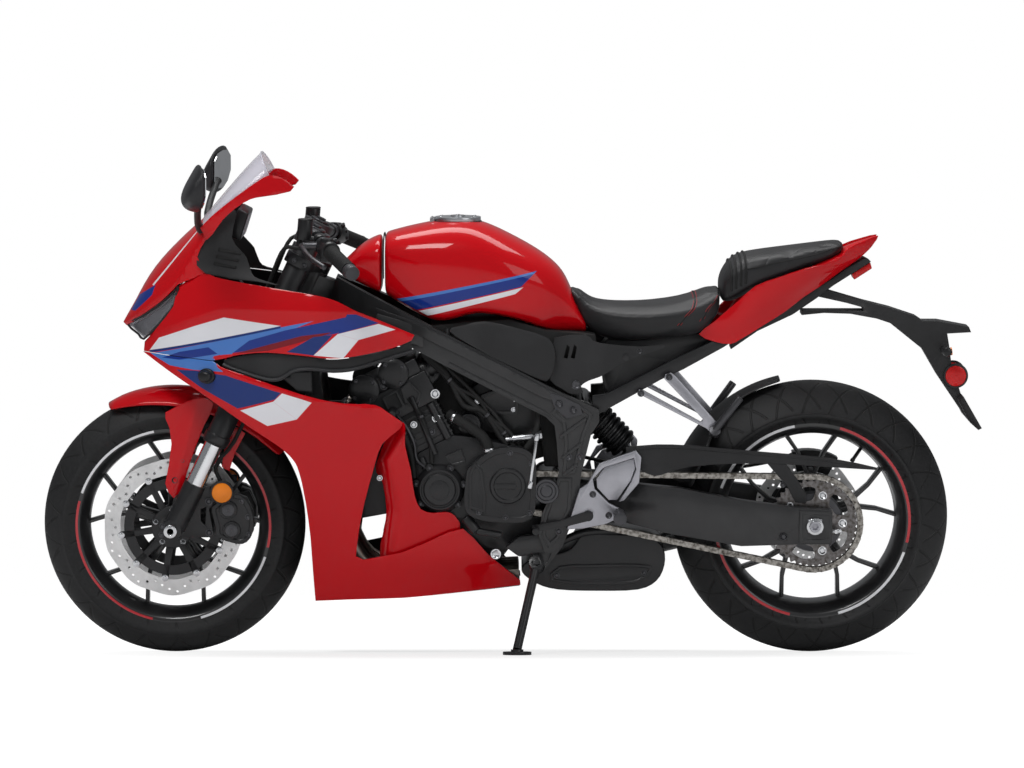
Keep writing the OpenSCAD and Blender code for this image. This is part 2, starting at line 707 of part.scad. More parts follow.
module subframe() {
    rail = tail_line([[225.6, 604], [250, 606], [420, 690], [545, 746], [560, 735], [520, 710],
        [430, 662], [380, 640],
        [265, 578], [240, 564], [225.6, 560]]);
    rail_in = plate_in - 20;
    color(black_metal) {
        pair() intersection() {
            side_prism(rail, -200, 0);
            plan_prism(tail_line([[200, -plate_in + seat_gap], [300, -plate_in + 6], [600, -68],
            [600, -50],
                [300, -plate_in + 28], [200, -rail_in]]), 500, 800);
        }
        for (p = tail_line([[270, 594], [410, 670], [530, 727]]))
            rod(p[0], p[1], 9, -60 - (560 - p[0]) * 0.1, 60 + (560 - p[0]) * 0.1);
        side_prism(tail_line([[255, 596], [410, 677], [515, 722], [490, 740], [462, 737 - seat_gap],
            [400, 730 - seat_gap], [320, 722 - seat_gap], [300, 722.7 - seat_gap],
            [262, 726 - seat_gap], [240, 700]]),
            -52, 52);
        pair() rod(stretched(300), 692, 8, -plate_in + seat_gap, -50);
    }
}

// ---- engine ----
module crankcase()
    color(black_metal) difference() {
        union() {
            side_prism([[-196, 328], [96, 328], [94, 470], [40, 492], [-50, 512], [-88, 514.7],
                [-200, 456.4], [-204, 400]],
                -plate_in + seat_gap, plate_in - seat_gap);
            side_prism([[-188, 330], [-170, 285], [-120, 262], [40, 250], [92, 258], [95, 330]], -84, 84);
            side_prism([[-120, 225], [20, 225], [40, 252], [-140, 265]], -60, 60);
            side_prism([[92, 300], [128, 294], [128, 340], [92, 345]], -80, 80);
            pair() rod(-150, 305, 8, -fairing_half(-142, 297) + 2 * panel_t + 3 * seat_gap, -60);
        }
        translate([-20, -200, 330]) cube([200, 200 - chain_in + 6, 120]);
        translate([98, -70, 355]) cube([60, 140, 70]);
    }

cylinder_tilt = 27.5;
module cylinder_head()
    color(black_metal) translate([-110, 0, 400]) rotate([0, -cylinder_tilt, 0]) {
        translate([-75, -112, 92]) cube([150, 224, 90]);
        translate([-92, -118, 182.2]) cube([176, 236, 70]);
        translate([-84, -112, 252.4]) cube([160, 224, 34]);
        pair() translate([-20, 0, 205]) rotate([90, 0, 0])
            cylinder(r = 8, h = fairing_half(-225, 565) - panel_t - 1);
    }

module engine_covers()
    color(black_metal) {
        cover_in = plate_in - seat_gap;
        pair() rod(-118, 395, 50, -cover_in - 18, -cover_in - seat_gap);
        pair() rod(-118, 395, 42, -cover_in - 60, -cover_in - 17);
        difference() {
            side_prism([[-45, 330], [20, 322], [90, 330], [98, 400], [94, 470], [60, 492],
            [0, 486], [-50, 450]],
                -cover_in - 30, -cover_in - seat_gap);
            rod(-118, 395, 51, -200, 0);
        }
        difference() {
            side_prism([[-50, 300], [60, 290], [98, 330], [98, 420], [60, 470], [-10, 480], [-60, 440]],
                cover_in + seat_gap, cover_in + 28);
            rod(-118, 395, 51, 0, 200);
        }
    }

radiator_front = [[-395, 415], [-424, 665]];
module radiator()
    color(black_metal) {
        side_prism([radiator_front[0], radiator_front[0] + [38, 0], radiator_front[1] + [38, 0],
        radiator_front[1]],
            -150, 150);
        pair() side_prism([[-390, 556], [head_front(556) - seat_gap, 556],
        [head_front(572) - seat_gap, 572],
            [-390, 572]], -62, -50);
    }

// Front face of the cylinder head at a height.
function head_front(z) =
    -110 - 92 * cos(cylinder_tilt) - (z - 400 + 92 * sin(cylinder_tilt)) * tan(cylinder_tilt);

module exhaust_headers() {
    away = [-cos(cylinder_tilt), 0, -sin(cylinder_tilt)];
    function port(y) = let (face = [head_front(575), y, 575]) concat([face + away * seat_gap],
        smooth([face + away * 8, face + away * 22, [-335, y, 500], [-336, y, 400], [-326, y, 290],
            [-285, y * 0.9, 215], [-200, y * 0.8, 190], [-60, y * 0.7, 190], [58.6, y * 0.55, 196]], 3));
    color(steel) for (y = [-84, -28, 28, 84])
        hose(port(y), 17, [0, 1, 0], 10);
}

module silencer()
    color(black_metal) difference() {
        union() {
            side_prism([[61, 175], [150, 158], [330, 155], [385, 180], [388, 262], [330, 286], [200, 288],
                [170, 246], [110, 240], [62, 225]], -88, 92);
            side_prism([[200, 190], [372, 180], [392, 200], [390, 262], [330, 284], [220, 284]], 90, 150);
            bar([380, 122, 232], [468, 128, 252], 24);
            side_prism([[140, 240], [156, 240], [156, 264 - seat_gap], [140, 264 - seat_gap]], -30, 30);
        }
        bar([375, 121.5, 231], [480, 129, 255], 20);
    }

// ---- swingarm, rear brake and drive ----
module arm_block()
    intersection() {
        side_prism([[150, 364], [310, 312], [560, 268], [rear_x - 40, 272], [rear_x + 38, 272],
        [rear_x + 38, 350],
            [rear_x - 45, 356], [560, 372], [420, 400], [310, 404], [150, 414]], -200, 0);
        plan_prism([[150, -chain_in + 4], [290, -chain_in + 4], [400, -arm_in - arm_t],
        [rear_x + 60, -arm_in - arm_t],
            [rear_x + 60, -arm_in], [420, -arm_in], [330, -80], [150, -60]], 0, 600);
    }

module swingarm()
    color(black_metal) difference() {
        union() {
            pair() arm_block();
            rod(pivot_x, pivot_z, pivot_tube_r, -plate_in + seat_gap, plate_in - seat_gap);
            side_prism([[120, 370], [290, 330], [300, 396], [120, 410]], -94, 94);
            rod(shock_foot[0], shock_foot[1], 6, -30, 30);
            pair() side_prism([[250, 390], [328, 388], [342, 450], [330, 472], [306, 470]], -34, -24);
        }
        rod(pivot_x, pivot_z, pivot_r + seat_gap, -200, 200);
        rod(rear_x, rear_z, rear_axle_r + seat_gap, -200, 200);
        pair() rod(rear_x - 70, 290, 4.1, -arm_in - arm_t - 1, -arm_in - 4);
    }

module rear_axle()
    color(silver) difference() {
        union() {
            rod(rear_x, rear_z, rear_axle_r, -arm_in - arm_t - 14, arm_in + arm_t + 14);
            pair() rod(rear_x, rear_z, 19, -arm_in - arm_t - 12, -arm_in - arm_t - seat_gap);
            rod(rear_x, rear_z, 18, -arm_in + seat_gap, -rear_hub_left - sprocket_t - 2 - side_gap);
            rod(rear_x, rear_z, 18, rear_hub_right + disc_t + 2 + side_gap, arm_in - seat_gap);
        }
        rod(rear_x, rear_z, rear_axle_bore, -300, 300);
    }

module rear_caliper()
    color(black_metal) difference() {
        union() {
            translate([0, arm_in - seat_gap, 0]) at_rear_axle()
                linear_extrude(38) polygon(sector(78, 140, 60, 105));
            translate([0, arm_in - seat_gap,
            0]) at_rear_axle() linear_extrude(10) polygon(sector(20, 84, 62, 100));
        }
        translate([0, rear_disc_y + 6, 0]) at_rear_axle() cylinder(r = rear_disc_r + 6, h = 12);
        translate([0, rear_disc_y + 6, 0]) at_rear_axle() cylinder(r = 92, h = 60);
    }

shock_top = [205, 575];
shock_foot = [318, 455];
module shock_absorber()
    color(black_metal) difference() {
        top = [shock_top[0], 0, shock_top[1]];
        foot = [shock_foot[0], 0, shock_foot[1]];
        d = unit(foot - top);
        union() {
            bar(top + d * (20 + seat_gap), top + d * 52, 20);
            bar(top + d * 50, foot - d * 26, 31);
            bar(foot - d * 28, foot, 10);
            rod(shock_foot[0], shock_foot[1], 15, -24 + seat_gap, 24 - seat_gap);
        }
        rod(shock_foot[0], shock_foot[1], 6 + seat_gap, -40, 40);
    }

// Loop around both sprockets, at a distance from the pitch line.
function chain_loop(offset) = let (
    a = [front_sprocket_x, pivot_z], b = [rear_x, rear_z], d = b - a,
    slope = atan2(d[1], d[0]),
    lean_in = asin((rear_sprocket_r - front_sprocket_r) / norm(d)))
    concat(
        arc(front_sprocket_r + offset, slope + 90 + lean_in, slope + 270 - lean_in, 16, a),
        arc(rear_sprocket_r + offset, slope - 90 - lean_in, slope + 90 + lean_in, 24, b));

module chain()
    color(gold) difference() {
        side_prism(chain_loop(chain_h / 2), -chain_out, -chain_in);
        side_prism(chain_loop(-chain_h / 2), -chain_out - 1, -chain_in + 1);
        side_prism(chain_loop(5), -chain_y - sprocket_t / 2 - 1, -chain_y + sprocket_t / 2 + 1);
    }

module rear_hugger() {
    r = rear_tyre_r + hugger_gap;
    angles = [for (k = [0:10]) lerp(108, 168, k / 10)];
    color(black_plastic) {
        arch([for (a = angles) [rear_x, rear_z] + polar(r + panel_t, a)],
            [for (a = angles) let (p = [rear_x, rear_z] + polar(r - 48, a)) [p[0],
            chain_in - 1, p[1]]], panel_t);
        pair() rod(rear_x - 275, rear_z + 70, 6, -arm_in + seat_gap, -chain_in + 3);
        side_prism([[rear_x - 350, 449], [rear_x - 290, 452], [rear_x - 85, 455], [rear_x + 135, 443],
            [rear_x + 135, 447], [rear_x + 35, 466], [rear_x - 125, 481], [rear_x - 285, 492],
            [rear_x - 360, 488]],
            -chain_out - 10, -chain_out - 7);
        side_prism([[rear_x - 110, 366], [rear_x - 70, 362], [rear_x - 70, 380], [rear_x - 40, 455],
            [rear_x - 110, 456]], -chain_out - 10, -chain_out - 7);
        side_prism([[rear_x - 300, 446], [rear_x - 250, 446], [rear_x - 250, 486], [rear_x - 300, 486]],
            -chain_out - 10, -88);
    }
}

// ---- bodywork ----
// Half width of the fairing at a station and height.
fairing_plan = [[-792, 56], [-700, 130], [-600, 176], [-450, 205], [-320, 214], [-180, 213], [70, 150]];
function fairing_half(x, z) = lookup(x, fairing_plan) - max(0, 600 - z) * tan(tuck) - max(0,
    z - 820) * 0.35;
fairing = function(x, z) fairing_half(x, z);
recessed = function(x, z) fairing_half(x, z) - panel_t - seat_gap;

tank_stations = [[-243, 962, 905, 829, 92, 84], [-200, 973, 900, 804, 116, 108],
    [-160, 979, 895, 782, 126, 118],
    [-100, 985, 890, 757, 137, 128], [-40, 985, 880, 792, 141, 132], [0, 974, 875, 787, 141, 130],
    [60, 949, 860, 774, 133, 120], [120, 914, 840, 748, 112, 96], [150, 886, 820, 741, 90, 72],
    [170, 843, 800, 744, 74, 60], [190, 800, 780, 750, 66, 56], [202, 772, 764, 752, 60, 54]];
cap_x = -78;
cap_z = 991;
hinge_x = cap_x - cap_r - 6;
hinge_z = cap_z + 4;
module fuel_tank()
    color(red_paint) difference() {
        union() {
            dome(tank_stations);
            translate([cap_x, 0, 900]) cylinder(r = cap_r + 2, h = cap_z - 900);
            pair() rod(hinge_x, hinge_z, 5, -17, -9);
            pair() side_prism([[hinge_x - 5, 960], [hinge_x + 5, 960], [hinge_x + 5, hinge_z],
            [hinge_x - 5, hinge_z]],
                -17, -9);
            rod(hinge_x, hinge_z, 2.5, -10, 10);
        }
        translate([cap_x, 0, cap_z - 60]) cylinder(r = filler_r, h = 70);
    }

module fuel_cap()
    color(silver) difference() {
        union() {
            translate([cap_x, 0, cap_z + 0.4]) cylinder(r = cap_r, h = 8);
            rod(hinge_x, hinge_z, 4.4, -8.4, 8.4);
            translate([hinge_x, -8.4, cap_z + 0.6]) cube([16, 16.8, 7]);
        }
        rod(hinge_x, hinge_z, 2.5 + run_gap, -20, 20);
    }

module tank_cover()
    color(red_paint)
        dome([[-346, 890, 882, 874, 45, 40], [-330, 904, 886, 867, 56, 50], [-305, 929, 895, 855, 72, 66],
            [-280, 948, 902, 843, 84, 76], [-243 - seat_gap - 0.3, 961, 905, 827, 91, 84]]);

module rider_seat()
    color(rubber)
        dome([[177, 843, 841, 836, 50, 46], [190, 842, 830, 806, 66, 60], [206, 826, 812, 770, 74, 66],
            [222, 813, 797, 746, 84, 72], [250, 807, 785, 728, 98, 80], [300, 805, 778, 723, 116, 92],
            [360, 807, 780, 727, 130, 102], [430, 817, 790, 734, 132, 104], [470, 833, 800, 738, 122, 96],
            [496, 846, 812, 766, 106, 88], [512, 846, 826, 796, 96, 84]]);

module pillion_seat()
    color(rubber)
        dome(grown([[519, 872, 852, 834, 84, 78], [535, 898, 866, 834, 96, 84],
        [552, 914, 876, 842, 104, 88],
            [600, 921, 890, 871, 108, 92], [650, 927, 902, 886, 104, 88], [720, 937, 916, 904, 90, 74],
            [770, 944, 930, 921, 66, 54], [796, 945, 938, 932, 40, 34]]));

// Stations that move back as the tail grows.
function grown(stations) = [for (s = stations) concat([stretched(s[0])],
    [for (k = [1:len(s) - 1]) s[k]])];

tail_stations = [[520, 822, 800, 728, 92, 90], [545, 833, 812, 736, 100, 92],
    [570, 841, 836, 746, 106, 92],
    [600, 867, 858, 762, 108, 88], [650, 882, 872, 790, 104, 76], [720, 901, 890, 836, 90, 56],
    [770, 918, 908, 866, 70, 44], [800, 934, 916, 886, 54, 34], [840, 948, 930, 908, 36, 22],
    [868, 956, 950, 940, 18, 12]];
module tail_cowl()
    color(red_paint) difference() {
        dome(grown(tail_stations));
        dome([for (s = grown(tail_stations)) if (s[0] < stretched(810))
            [s[0] == stretched(520) ? s[0] - 10 : s[0], s[1] - 6, s[2] - 6, s[3] - 20, s[4] - 6,
            s[5] - 4]]);
    }

module undertail()
    color(black_plastic)
        side_prism(tail_line([[539.6, 700], [600, 742], [680, 780], [735, 818], [770, 845],
        [806, 868], [856, 900],
            [842, 907.9], [800, 885.2], [768, 862], [718, 832], [650, 786 - seat_gap], [600, 758],
            [539.6, 730]]), -34, 34);

module number_plate_bracket()
    color(black_plastic) difference() {
        union() {
            side_prism(tail_line([[700, 778], [750, 783], [810, 781], [870, 770], [900, 760],
            [975, 700], [1010, 640],
                [1078, 540], [1096, 524], [1104, 528], [1062, 600], [1040, 668], [1036, 700],
                [1030, 736], [1084, 739],
                [1079, 751], [1010, 764], [975, 764], [960, 774], [900, 794], [840, 809],
                [756, 833.6], [738, 819.8],
                [800, 806], [840, 795], [840, 788], [700, 788]]), -30, 30);
            side_prism(tail_line([[1052, 590], [1078, 540], [1096, 524], [1104, 528],
            [1062, 600]]), -92, 92);
        }
        for (s = [-1, 1])
            translate([stretched(1079), s * 60, 562]) rotate([0, -60, 0]) cylinder(r = 3, h = 60,
            center = true);
    }

module rear_lamps() {
    color("red") side_prism(tail_line([[812, 871.3], [854, 898.1], [858, 884], [818, 858]]), -30, 30);
    color("orange") pair() bar([stretched(1020), -31, 700], [stretched(1022), -120, 704], 11);
    color("red") pair() rod(stretched(1050), 640, 24, -36, -30 - seat_gap);
}

// ---- panels around the frame ----
module side_covers()
    color(black_plastic) {
        pair() difference() {
            side_prism([[-95, 752], [-60, 764], [-30, 771], [0, 769], [60, 756], [110, 741],
            [134, 728], [140, 700],
                [134, 660], [125, 628], [105, 632], [0, 690], [-92, 738]],
                -plate_out + 6, -plate_out + 16);
            translate([0, 0, seat_gap]) side_prism(spar_side, -300, 0);
        }
        pair() side_prism([[142, 736], [212, 742], [240, 724], [318, 718], [372, 718], [384, 700],
        [300, 668],
            [262, 640], [236, 622], [180, 611], [142, 634]], -plate_in - 4, -plate_in);
    }

stay_half = fairing_half(-631, 839) - panel_t - 2;
module fairing_stay()
    color(black_metal) {
        side_prism([steering_at(-head_tube_r - seat_gap, 530), steering_at(-head_tube_r - seat_gap, 560),
            [-560, 838], [-600, 900], [-590, 960], [-604, 962], [-622, 890], [-630, 830],
            [-560, 812]], -24, 24);
        rod(-622, 830, 9, -stay_half, stay_half);
    }

nose_crest = [[-838, 760], [-815, 800], [-790, 848], [-760, 893], [-720, 938], [-680, 976], [-642, 1007]];
nose_edge = [[-826, 14, 752], [-796, 60, 776], [-754, 92, 806], [-712, 116, 846], [-682, 126, 880],
    [-658, 130, 920], [-628, 134, 968]];
wing_half = function(x, z) lookup(x, [[-640, 132], [-600, 134], [-540, 126], [-443, 96]]);
module nose_cowl()
    color(red_paint) {
        arch(nose_crest, nose_edge, panel_t);
        pair() panel([[-635, 1004], [-600, 1030], [-560, 1060], [-500, 1098], [-470, 1092], [-443, 1075]],
            [[-627.5, 968.4], [-600, 1004], [-570, 1029], [-530, 1050], [-490, 1056],
            [-444, 1072]], wing_half);
    }

module windscreen()
    color("lightblue", 0.4)
        arch([[-640, 1012], [-615, 1042], [-585, 1078], [-555, 1112], [-526, 1142]],
            [for (p = [[-624, 992], [-597, 1030], [-562, 1056], [-530, 1076], [-497, 1096]])
                [p[0], wing_half(p[0], p[1]) - panel_t - 2, p[1]]], screen_t);

lens_half = function(x, z) lookup(x, [[-826, 9], [-796, 55], [-754, 87], [-712, 111], [-700, 117]]);
module headlights()
    color(white_paint) pair()
        panel([[-822, 754.4], [-796, 775.2], [-754, 805.2], [-714, 843.3]], [[-804, 742],
        [-780, 744], [-748, 776],
            [-724, 818]], lens_half, 12);

inner_half = function(x, z) lookup(z, [[854, 160], [884, 134], [920, 129], [968, 133], [1020, 120]]);
module inner_cowl()
    color(black_plastic) pair()
        panel([[-624, 888], [-656.8, 920.8], [-627.3, 967.7], [-598, 1000], [-580, 1018]],
            [[-464, 856], [-520, 872], [-556, 924], [-578, 960], [-576, 1014]], inner_half);

module dashboard()
    color(black_plastic)
        side_prism([[-589.6, 960.5], [-566, 950], [-546, 1012], [-570, 1024]], -85, 85);

// Mirror heads on stalks.
module mirrors()
    color(black_plastic) pair() {
        hose(smooth([[-650, -116.8, 978], [-652, -150, 1000], [-650, -200, 1030],
        [-646, -260, 1058]], 3), 8,
            [1, 0, 0], 8);
        loft([for (k = [0:8])
            let (y = lerp(-240, -mirror_y, k / 8), s = sqrt(max(0.06, 1 - pow((k - 4) / 4.2, 2))))
            [for (a = [0:30:330]) [-640 - 22 * s * cos(a) - 8 * cos(a) * cos(a), y,
            mirror_z + 52 * s * sin(a)]]]);
    }

module side_cowls()
    color(red_paint) pair()
        panel(
            [[-788, 706], [-742, 772], [-708.3, 849.2], [-640, 886], [-618, 876], [-560, 865],
            [-460, 850], [-350, 830],
                [-300, 805], [-250, 785], [-172, 752]],
            [[-786, 699.5], [-742, 696.8], [-700, 694.3], [-665, 692.2], [-622, 689.7],
            [-590, 700], [-500, 715], [-400, 706],
                [-300, 709], [-240, 720], [-178, 742]], fairing);

module side_ducts()
    color(black_plastic) pair()
        panel([[-590, 699.5], [-500, 714.5], [-400, 705.5], [-300, 708.5], [-185, 739]],
            [[-588, 692], [-490, 655], [-400, 660], [-300, 680], [-190, 724]],
            function(x, z) fairing_half(x, z) - panel_t - 0.8, 3);

module lower_cowls() {
    color(red_paint) pair() {
        panel(
            [[-788, 699], [-700, 646], [-600, 580], [-500, 515], [-440, 465], [-420, 380],
            [-410, 300], [-405, 200],
                [-402, 150]],
            [[-622, 689], [-560, 665], [-400, 615], [-260, 600], [-205, 548], [-255, 490],
            [-300, 320], [-315, 240],
                [-324, 146]], fairing);
        panel([[-212, 552], [-238, 500], [-256, 400], [-256, 345], [-240, 300], [-250, 250], [-318, 238]],
            [[-190, 552], [-194, 500], [-184, 430], [-172, 372], [-104, 336], [-80, 300], [-66, 290]],
            recessed, panel_t, 2);
        panel([[-316, 231], [-250, 247], [-205, 254], [-130, 284], [-60, 294], [-10, 245], [63, 172]],
            [[-321, 142], [-250, 144], [-200, 146], [-100, 152], [-50, 156], [0, 160], [64, 166]],
            fairing);
    }
}

// Floor of the fairing, between the lower cowls.
belly_line = [[-400, 150], [-320, 143], [-200, 147], [-100, 153], [0, 161], [62, 167]];
module belly_pan()
    color(black_plastic)
        arch([for (p = belly_line) p - [0, 12]],
            [for (p = belly_line) [p[0], recessed(p[0], p[1]) + 0.2, p[1] + 4]], 3, 4);

// Outer face of the subframe's rails at a station.
function rail_half(x) = lookup(x, [[stretched(300), plate_in - 6], [stretched(600), 68]]);
pillion_y = rail_half(stretched(335)) + 1.5;
module footrest_brackets()
    color(silver) pair() {
        side_prism([[196, 398], [168, 306], [205, 308], [255, 318], [290, 332], [290, 352],
        [262, 366], [226, 402],
            [250, 446], [318, 468], [323, 442], [312, 414], [282, 366], [296, 372], [330, 412],
            [334, 470], [322, 486],
            [240, 456], [214, 404]], -plate_out - 12, -plate_out - seat_gap);
        side_prism(tail_line([[325, 612], [340, 604], [480, 532], [498, 516], [506, 540],
        [408, 652], [392, 656],
            [386, 646], [474, 552], [470, 548], [340, 618]]), -pillion_y - 8, -pillion_y);
        rod(stretched(396), 648, 7, -pillion_y - 1, -rail_half(stretched(396)) - seat_gap - 1);
    }

// Toe levers in front of the rider's footrests: shifter on the left, brake on the right.
module foot_controls()
    color(black_metal) pair() {
        face = -plate_out - 12 - seat_gap;
        side_prism([[226, 346], [222, 328], [150, 310], [96, 302], [90, 316], [150, 326], [208, 347]],
            face - 8, face);
        rod(98, 309, 8, face - 52, face - 1);
        rod(215, 338, 12, face - 10, face);
    }

// Oval lamps on the front of the lower cowls.
module front_indicators()
    color(black_plastic) pair() {
        root = [-637, -fairing_half(-637, 655), 655];
        away = unit([-0.46, -1, 0]);
        along(root + away * seat_gap, root + away * 34) cylinder(r1 = 14, r2 = 9, h = 34);
    }

peg_x = 285;
peg_z = 343;
module footpegs()
    color(steel) {
        pair() rod(peg_x, peg_z, 12, -plate_out - 96, -plate_out - 12 - seat_gap);
        pair() bar([stretched(500), -pillion_y - 8 - seat_gap - 9, 528],
            [stretched(556), -pillion_y - 20, 604], 9);
    }

on_stand() front_tyre();
on_stand() front_wheel_rim();
on_stand() front_discs();
on_stand() front_axle();
on_stand() fork_sliders();
on_stand() fork_outer_tubes();
on_stand() triple_clamp();
on_stand() front_fender();
on_stand() front_calipers();
on_stand() fork_reflectors();
on_stand() handlebars();
on_stand() grips();
on_stand() switchgear();
on_stand() control_levers();
on_stand() brake_hoses();
on_stand() rear_tyre();
on_stand() rear_wheel_rim();
on_stand() rear_disc();
on_stand() rear_sprocket();
on_stand() side_stand();
on_stand() fuel_cap();
on_stand() main_frame();
on_stand() subframe();
on_stand() crankcase();
on_stand() cylinder_head();
on_stand() engine_covers();
on_stand() radiator();
on_stand() exhaust_headers();
on_stand() silencer();
on_stand() swingarm();
on_stand() rear_axle();
on_stand() rear_caliper();
on_stand() shock_absorber();
on_stand() chain();
on_stand() rear_hugger();
on_stand() fuel_tank();
on_stand() tank_cover();
on_stand() rider_seat();
on_stand() pillion_seat();
on_stand() tail_cowl();
on_stand() undertail();
on_stand() number_plate_bracket();
on_stand() rear_lamps();
on_stand() side_covers();
on_stand() fairing_stay();
on_stand() nose_cowl();
on_stand() windscreen();
on_stand() headlights();
on_stand() inner_cowl();
on_stand() dashboard();
on_stand() mirrors();
on_stand() side_cowls();
on_stand() side_ducts();
on_stand() lower_cowls();
on_stand() belly_pan();
on_stand() footrest_brackets();
on_stand() footpegs();
on_stand() foot_controls();
on_stand() front_indicators();
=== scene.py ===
"""Looks of a faired sport motorcycle that leans on its side stand."""

import json
import logging
import math
from dataclasses import dataclass, field
from enum import Enum
from typing import Callable, Iterable, Optional, Sequence, Union

import bmesh
import bpy
from mathutils import Matrix, Vector
from mathutils.bvhtree import BVHTree

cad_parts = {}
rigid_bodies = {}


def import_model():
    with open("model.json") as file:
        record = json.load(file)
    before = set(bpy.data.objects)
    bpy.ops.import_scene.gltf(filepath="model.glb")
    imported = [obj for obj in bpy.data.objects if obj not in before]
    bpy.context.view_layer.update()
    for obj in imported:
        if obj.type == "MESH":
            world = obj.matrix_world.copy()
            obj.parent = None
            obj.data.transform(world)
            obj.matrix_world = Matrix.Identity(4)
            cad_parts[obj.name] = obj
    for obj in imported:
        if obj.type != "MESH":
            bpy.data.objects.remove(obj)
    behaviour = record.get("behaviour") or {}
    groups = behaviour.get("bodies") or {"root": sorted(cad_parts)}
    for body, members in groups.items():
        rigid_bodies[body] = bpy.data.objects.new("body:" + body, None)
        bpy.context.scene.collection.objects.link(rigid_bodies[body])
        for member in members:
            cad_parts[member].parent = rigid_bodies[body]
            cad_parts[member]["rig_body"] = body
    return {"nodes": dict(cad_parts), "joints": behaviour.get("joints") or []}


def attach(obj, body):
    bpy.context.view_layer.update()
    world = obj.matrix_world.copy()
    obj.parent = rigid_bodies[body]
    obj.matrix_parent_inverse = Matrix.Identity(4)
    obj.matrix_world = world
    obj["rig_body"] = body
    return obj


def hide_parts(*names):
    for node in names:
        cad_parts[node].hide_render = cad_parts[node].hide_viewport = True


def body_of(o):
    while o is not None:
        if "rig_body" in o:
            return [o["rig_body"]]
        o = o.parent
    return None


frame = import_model()

log = logging.getLogger("motorcycle")

Flat = tuple[float, float]
Spot = tuple[float, float, float]
Line = Sequence[Sequence[float]]
Surface = Callable[[float, float], float]
Colour = tuple[float, float, float]
Number = Union[int, float, "Value"]

LEFT = (0, -1, 0)  # the way a bolt on the left side faces
EDGE_BLUR = 0.5  # half width of a stripe's soft edge, in millimetres
NODE_EDGE = math.radians(28)  # angle from which a CAD node's edge is eased
PLATE_EDGE = 0.5  # angle from which a plate's edge is rounded, in radians
BOLT_EDGE = 0.8  # the same for a bolt's head
FLAT_ENOUGH = math.radians(1)  # angle below which neighbouring facets are merged
PAD_VOXEL = 0.006  # cells of a pad's even mesh, in metres
PAD_PRESSURE = 4.0  # pressure that blows a pad up
PAD_STEPS = 20  # steps of the cloth


class Body(Enum):
    """Bodies of the frame that pieces ride on."""

    CHASSIS = "chassis"
    STEERING = "steering"
    FRONT_WHEEL = "front_wheel"
    REAR_WHEEL = "rear_wheel"
    STAND = "side_stand"
    CAP = "fuel_cap"


@dataclass(frozen=True)
class Stance:
    """Places the upright bike, drawn in millimetres, where it leans in the frame, in metres."""

    lean: float = math.radians(9.0)
    front_axle: Flat = (-725.0, 298.748)
    rear_axle: Flat = (725.0, 314.184)
    rake: float = math.radians(25.5)

    def middle(self) -> Vector:
        """Point of the floor, in millimetres, that is the frame's origin."""
        axle = next(Vector(j["pos_m"]) for j in frame["joints"] if j["name"] == "front_wheel_spin")
        x, z = self.front_axle
        return Vector((x - 1000 * axle.x, -z * math.sin(self.lean) - 1000 * axle.y, 0))

    def matrix(self) -> Matrix:
        """Matrix from the upright bike's millimetres to the frame's metres."""
        return Matrix.Scale(0.001, 4) @ Matrix.Translation(
            -self.middle()) @ Matrix.Rotation(self.lean, 4, "X")

    def steering_foot(self) -> Vector:
        """Point of the steering axis beside the front axle."""
        lead = 36.7
        return Vector((self.front_axle[0] + lead * math.cos(self.rake), 0,
            self.front_axle[1] - lead * math.sin(self.rake)))

    def steering(self, x: float, y: float, z: float) -> Vector:
        """Point given across, sideways and along the steering axis, in the upright bike."""
        c, s = math.cos(self.rake), math.sin(self.rake)
        return self.steering_foot() + Vector((x * c + z * s, y, -x * s + z * c))


STANCE = Stance()


def lerp(a: float, b: float, t: float) -> float:
    """Value a part t of the way from a to b."""
    return a + (b - a) * t


def polar(centre: Flat, radius: float, degrees: float) -> Flat:
    """Point on a circle in the bike's side plane."""
    angle = math.radians(degrees)
    return (centre[0] + radius * math.cos(angle), centre[1] + radius * math.sin(angle))


def around(centre: Flat, spots: Iterable[Flat], turn: float = 0.0) -> list[Flat]:
    """Points given as radius and degrees about a centre, all turned further."""
    return [polar(centre, radius, turn + degrees) for radius, degrees in spots]


def ring_of(centre: Flat, radius: float, count: int, start: float = 0.0) -> list[Flat]:
    """Even points on a circle in the bike's side plane."""
    return [polar(centre, radius, start + 360 * i / count) for i in range(count)]


def smooth_line(points: Line, steps: int = 4, closed: bool = False) -> list[tuple]:
    """Catmull-Rom curve through points of any dimension.

    Args:
        points: Points that the curve passes through.
        steps: Pieces between two neighbouring points.
        closed: Whether the curve returns to its first point.

    Returns:
        The points of the curve.
    """
    n = len(points)
    at = (lambda i: points[i % n]) if closed else (lambda i: points[max(0, min(n - 1, i))])
    line = []
    for i in range(n if closed else n - 1):
        p = [at(i + k) for k in (-1, 0, 1, 2)]
        for k in range(steps):
            t = k / steps
            line.append(tuple(0.5 * (2 * b + (c - a) * t + (2 * a - 5 * b + 4 * c - d) * t * t
                + (3 * b - a - 3 * c + d) * t ** 3) for a, b, c, d in zip(*p)))
    return line if closed else line + [tuple(points[-1])]


def curve_at(stations: Line, x: float) -> float:
    """Smooth value at x through stations of (x, value) that rise in x."""
    if x <= stations[0][0]:
        return stations[0][1]
    if x >= stations[-1][0]:
        return stations[-1][1]
    i = next(k for k in range(len(stations) - 1) if x <= stations[k + 1][0])
    slopes = []
    for k in (i, i + 1):
        lo, hi = stations[max(0, k - 1)], stations[min(len(stations) - 1, k + 1)]
        slopes.append((hi[1] - lo[1]) / (hi[0] - lo[0]))
    (x0, v0), (x1, v1) = stations[i][:2], stations[i + 1][:2]
    w = x1 - x0
    t = (x - x0) / w
    return ((2 * t ** 3 - 3 * t * t + 1) * v0 + (t ** 3 - 2 * t * t + t) * w * slopes[0]
        + (3 * t * t - 2 * t ** 3) * v1 + (t ** 3 - t * t) * w * slopes[1])


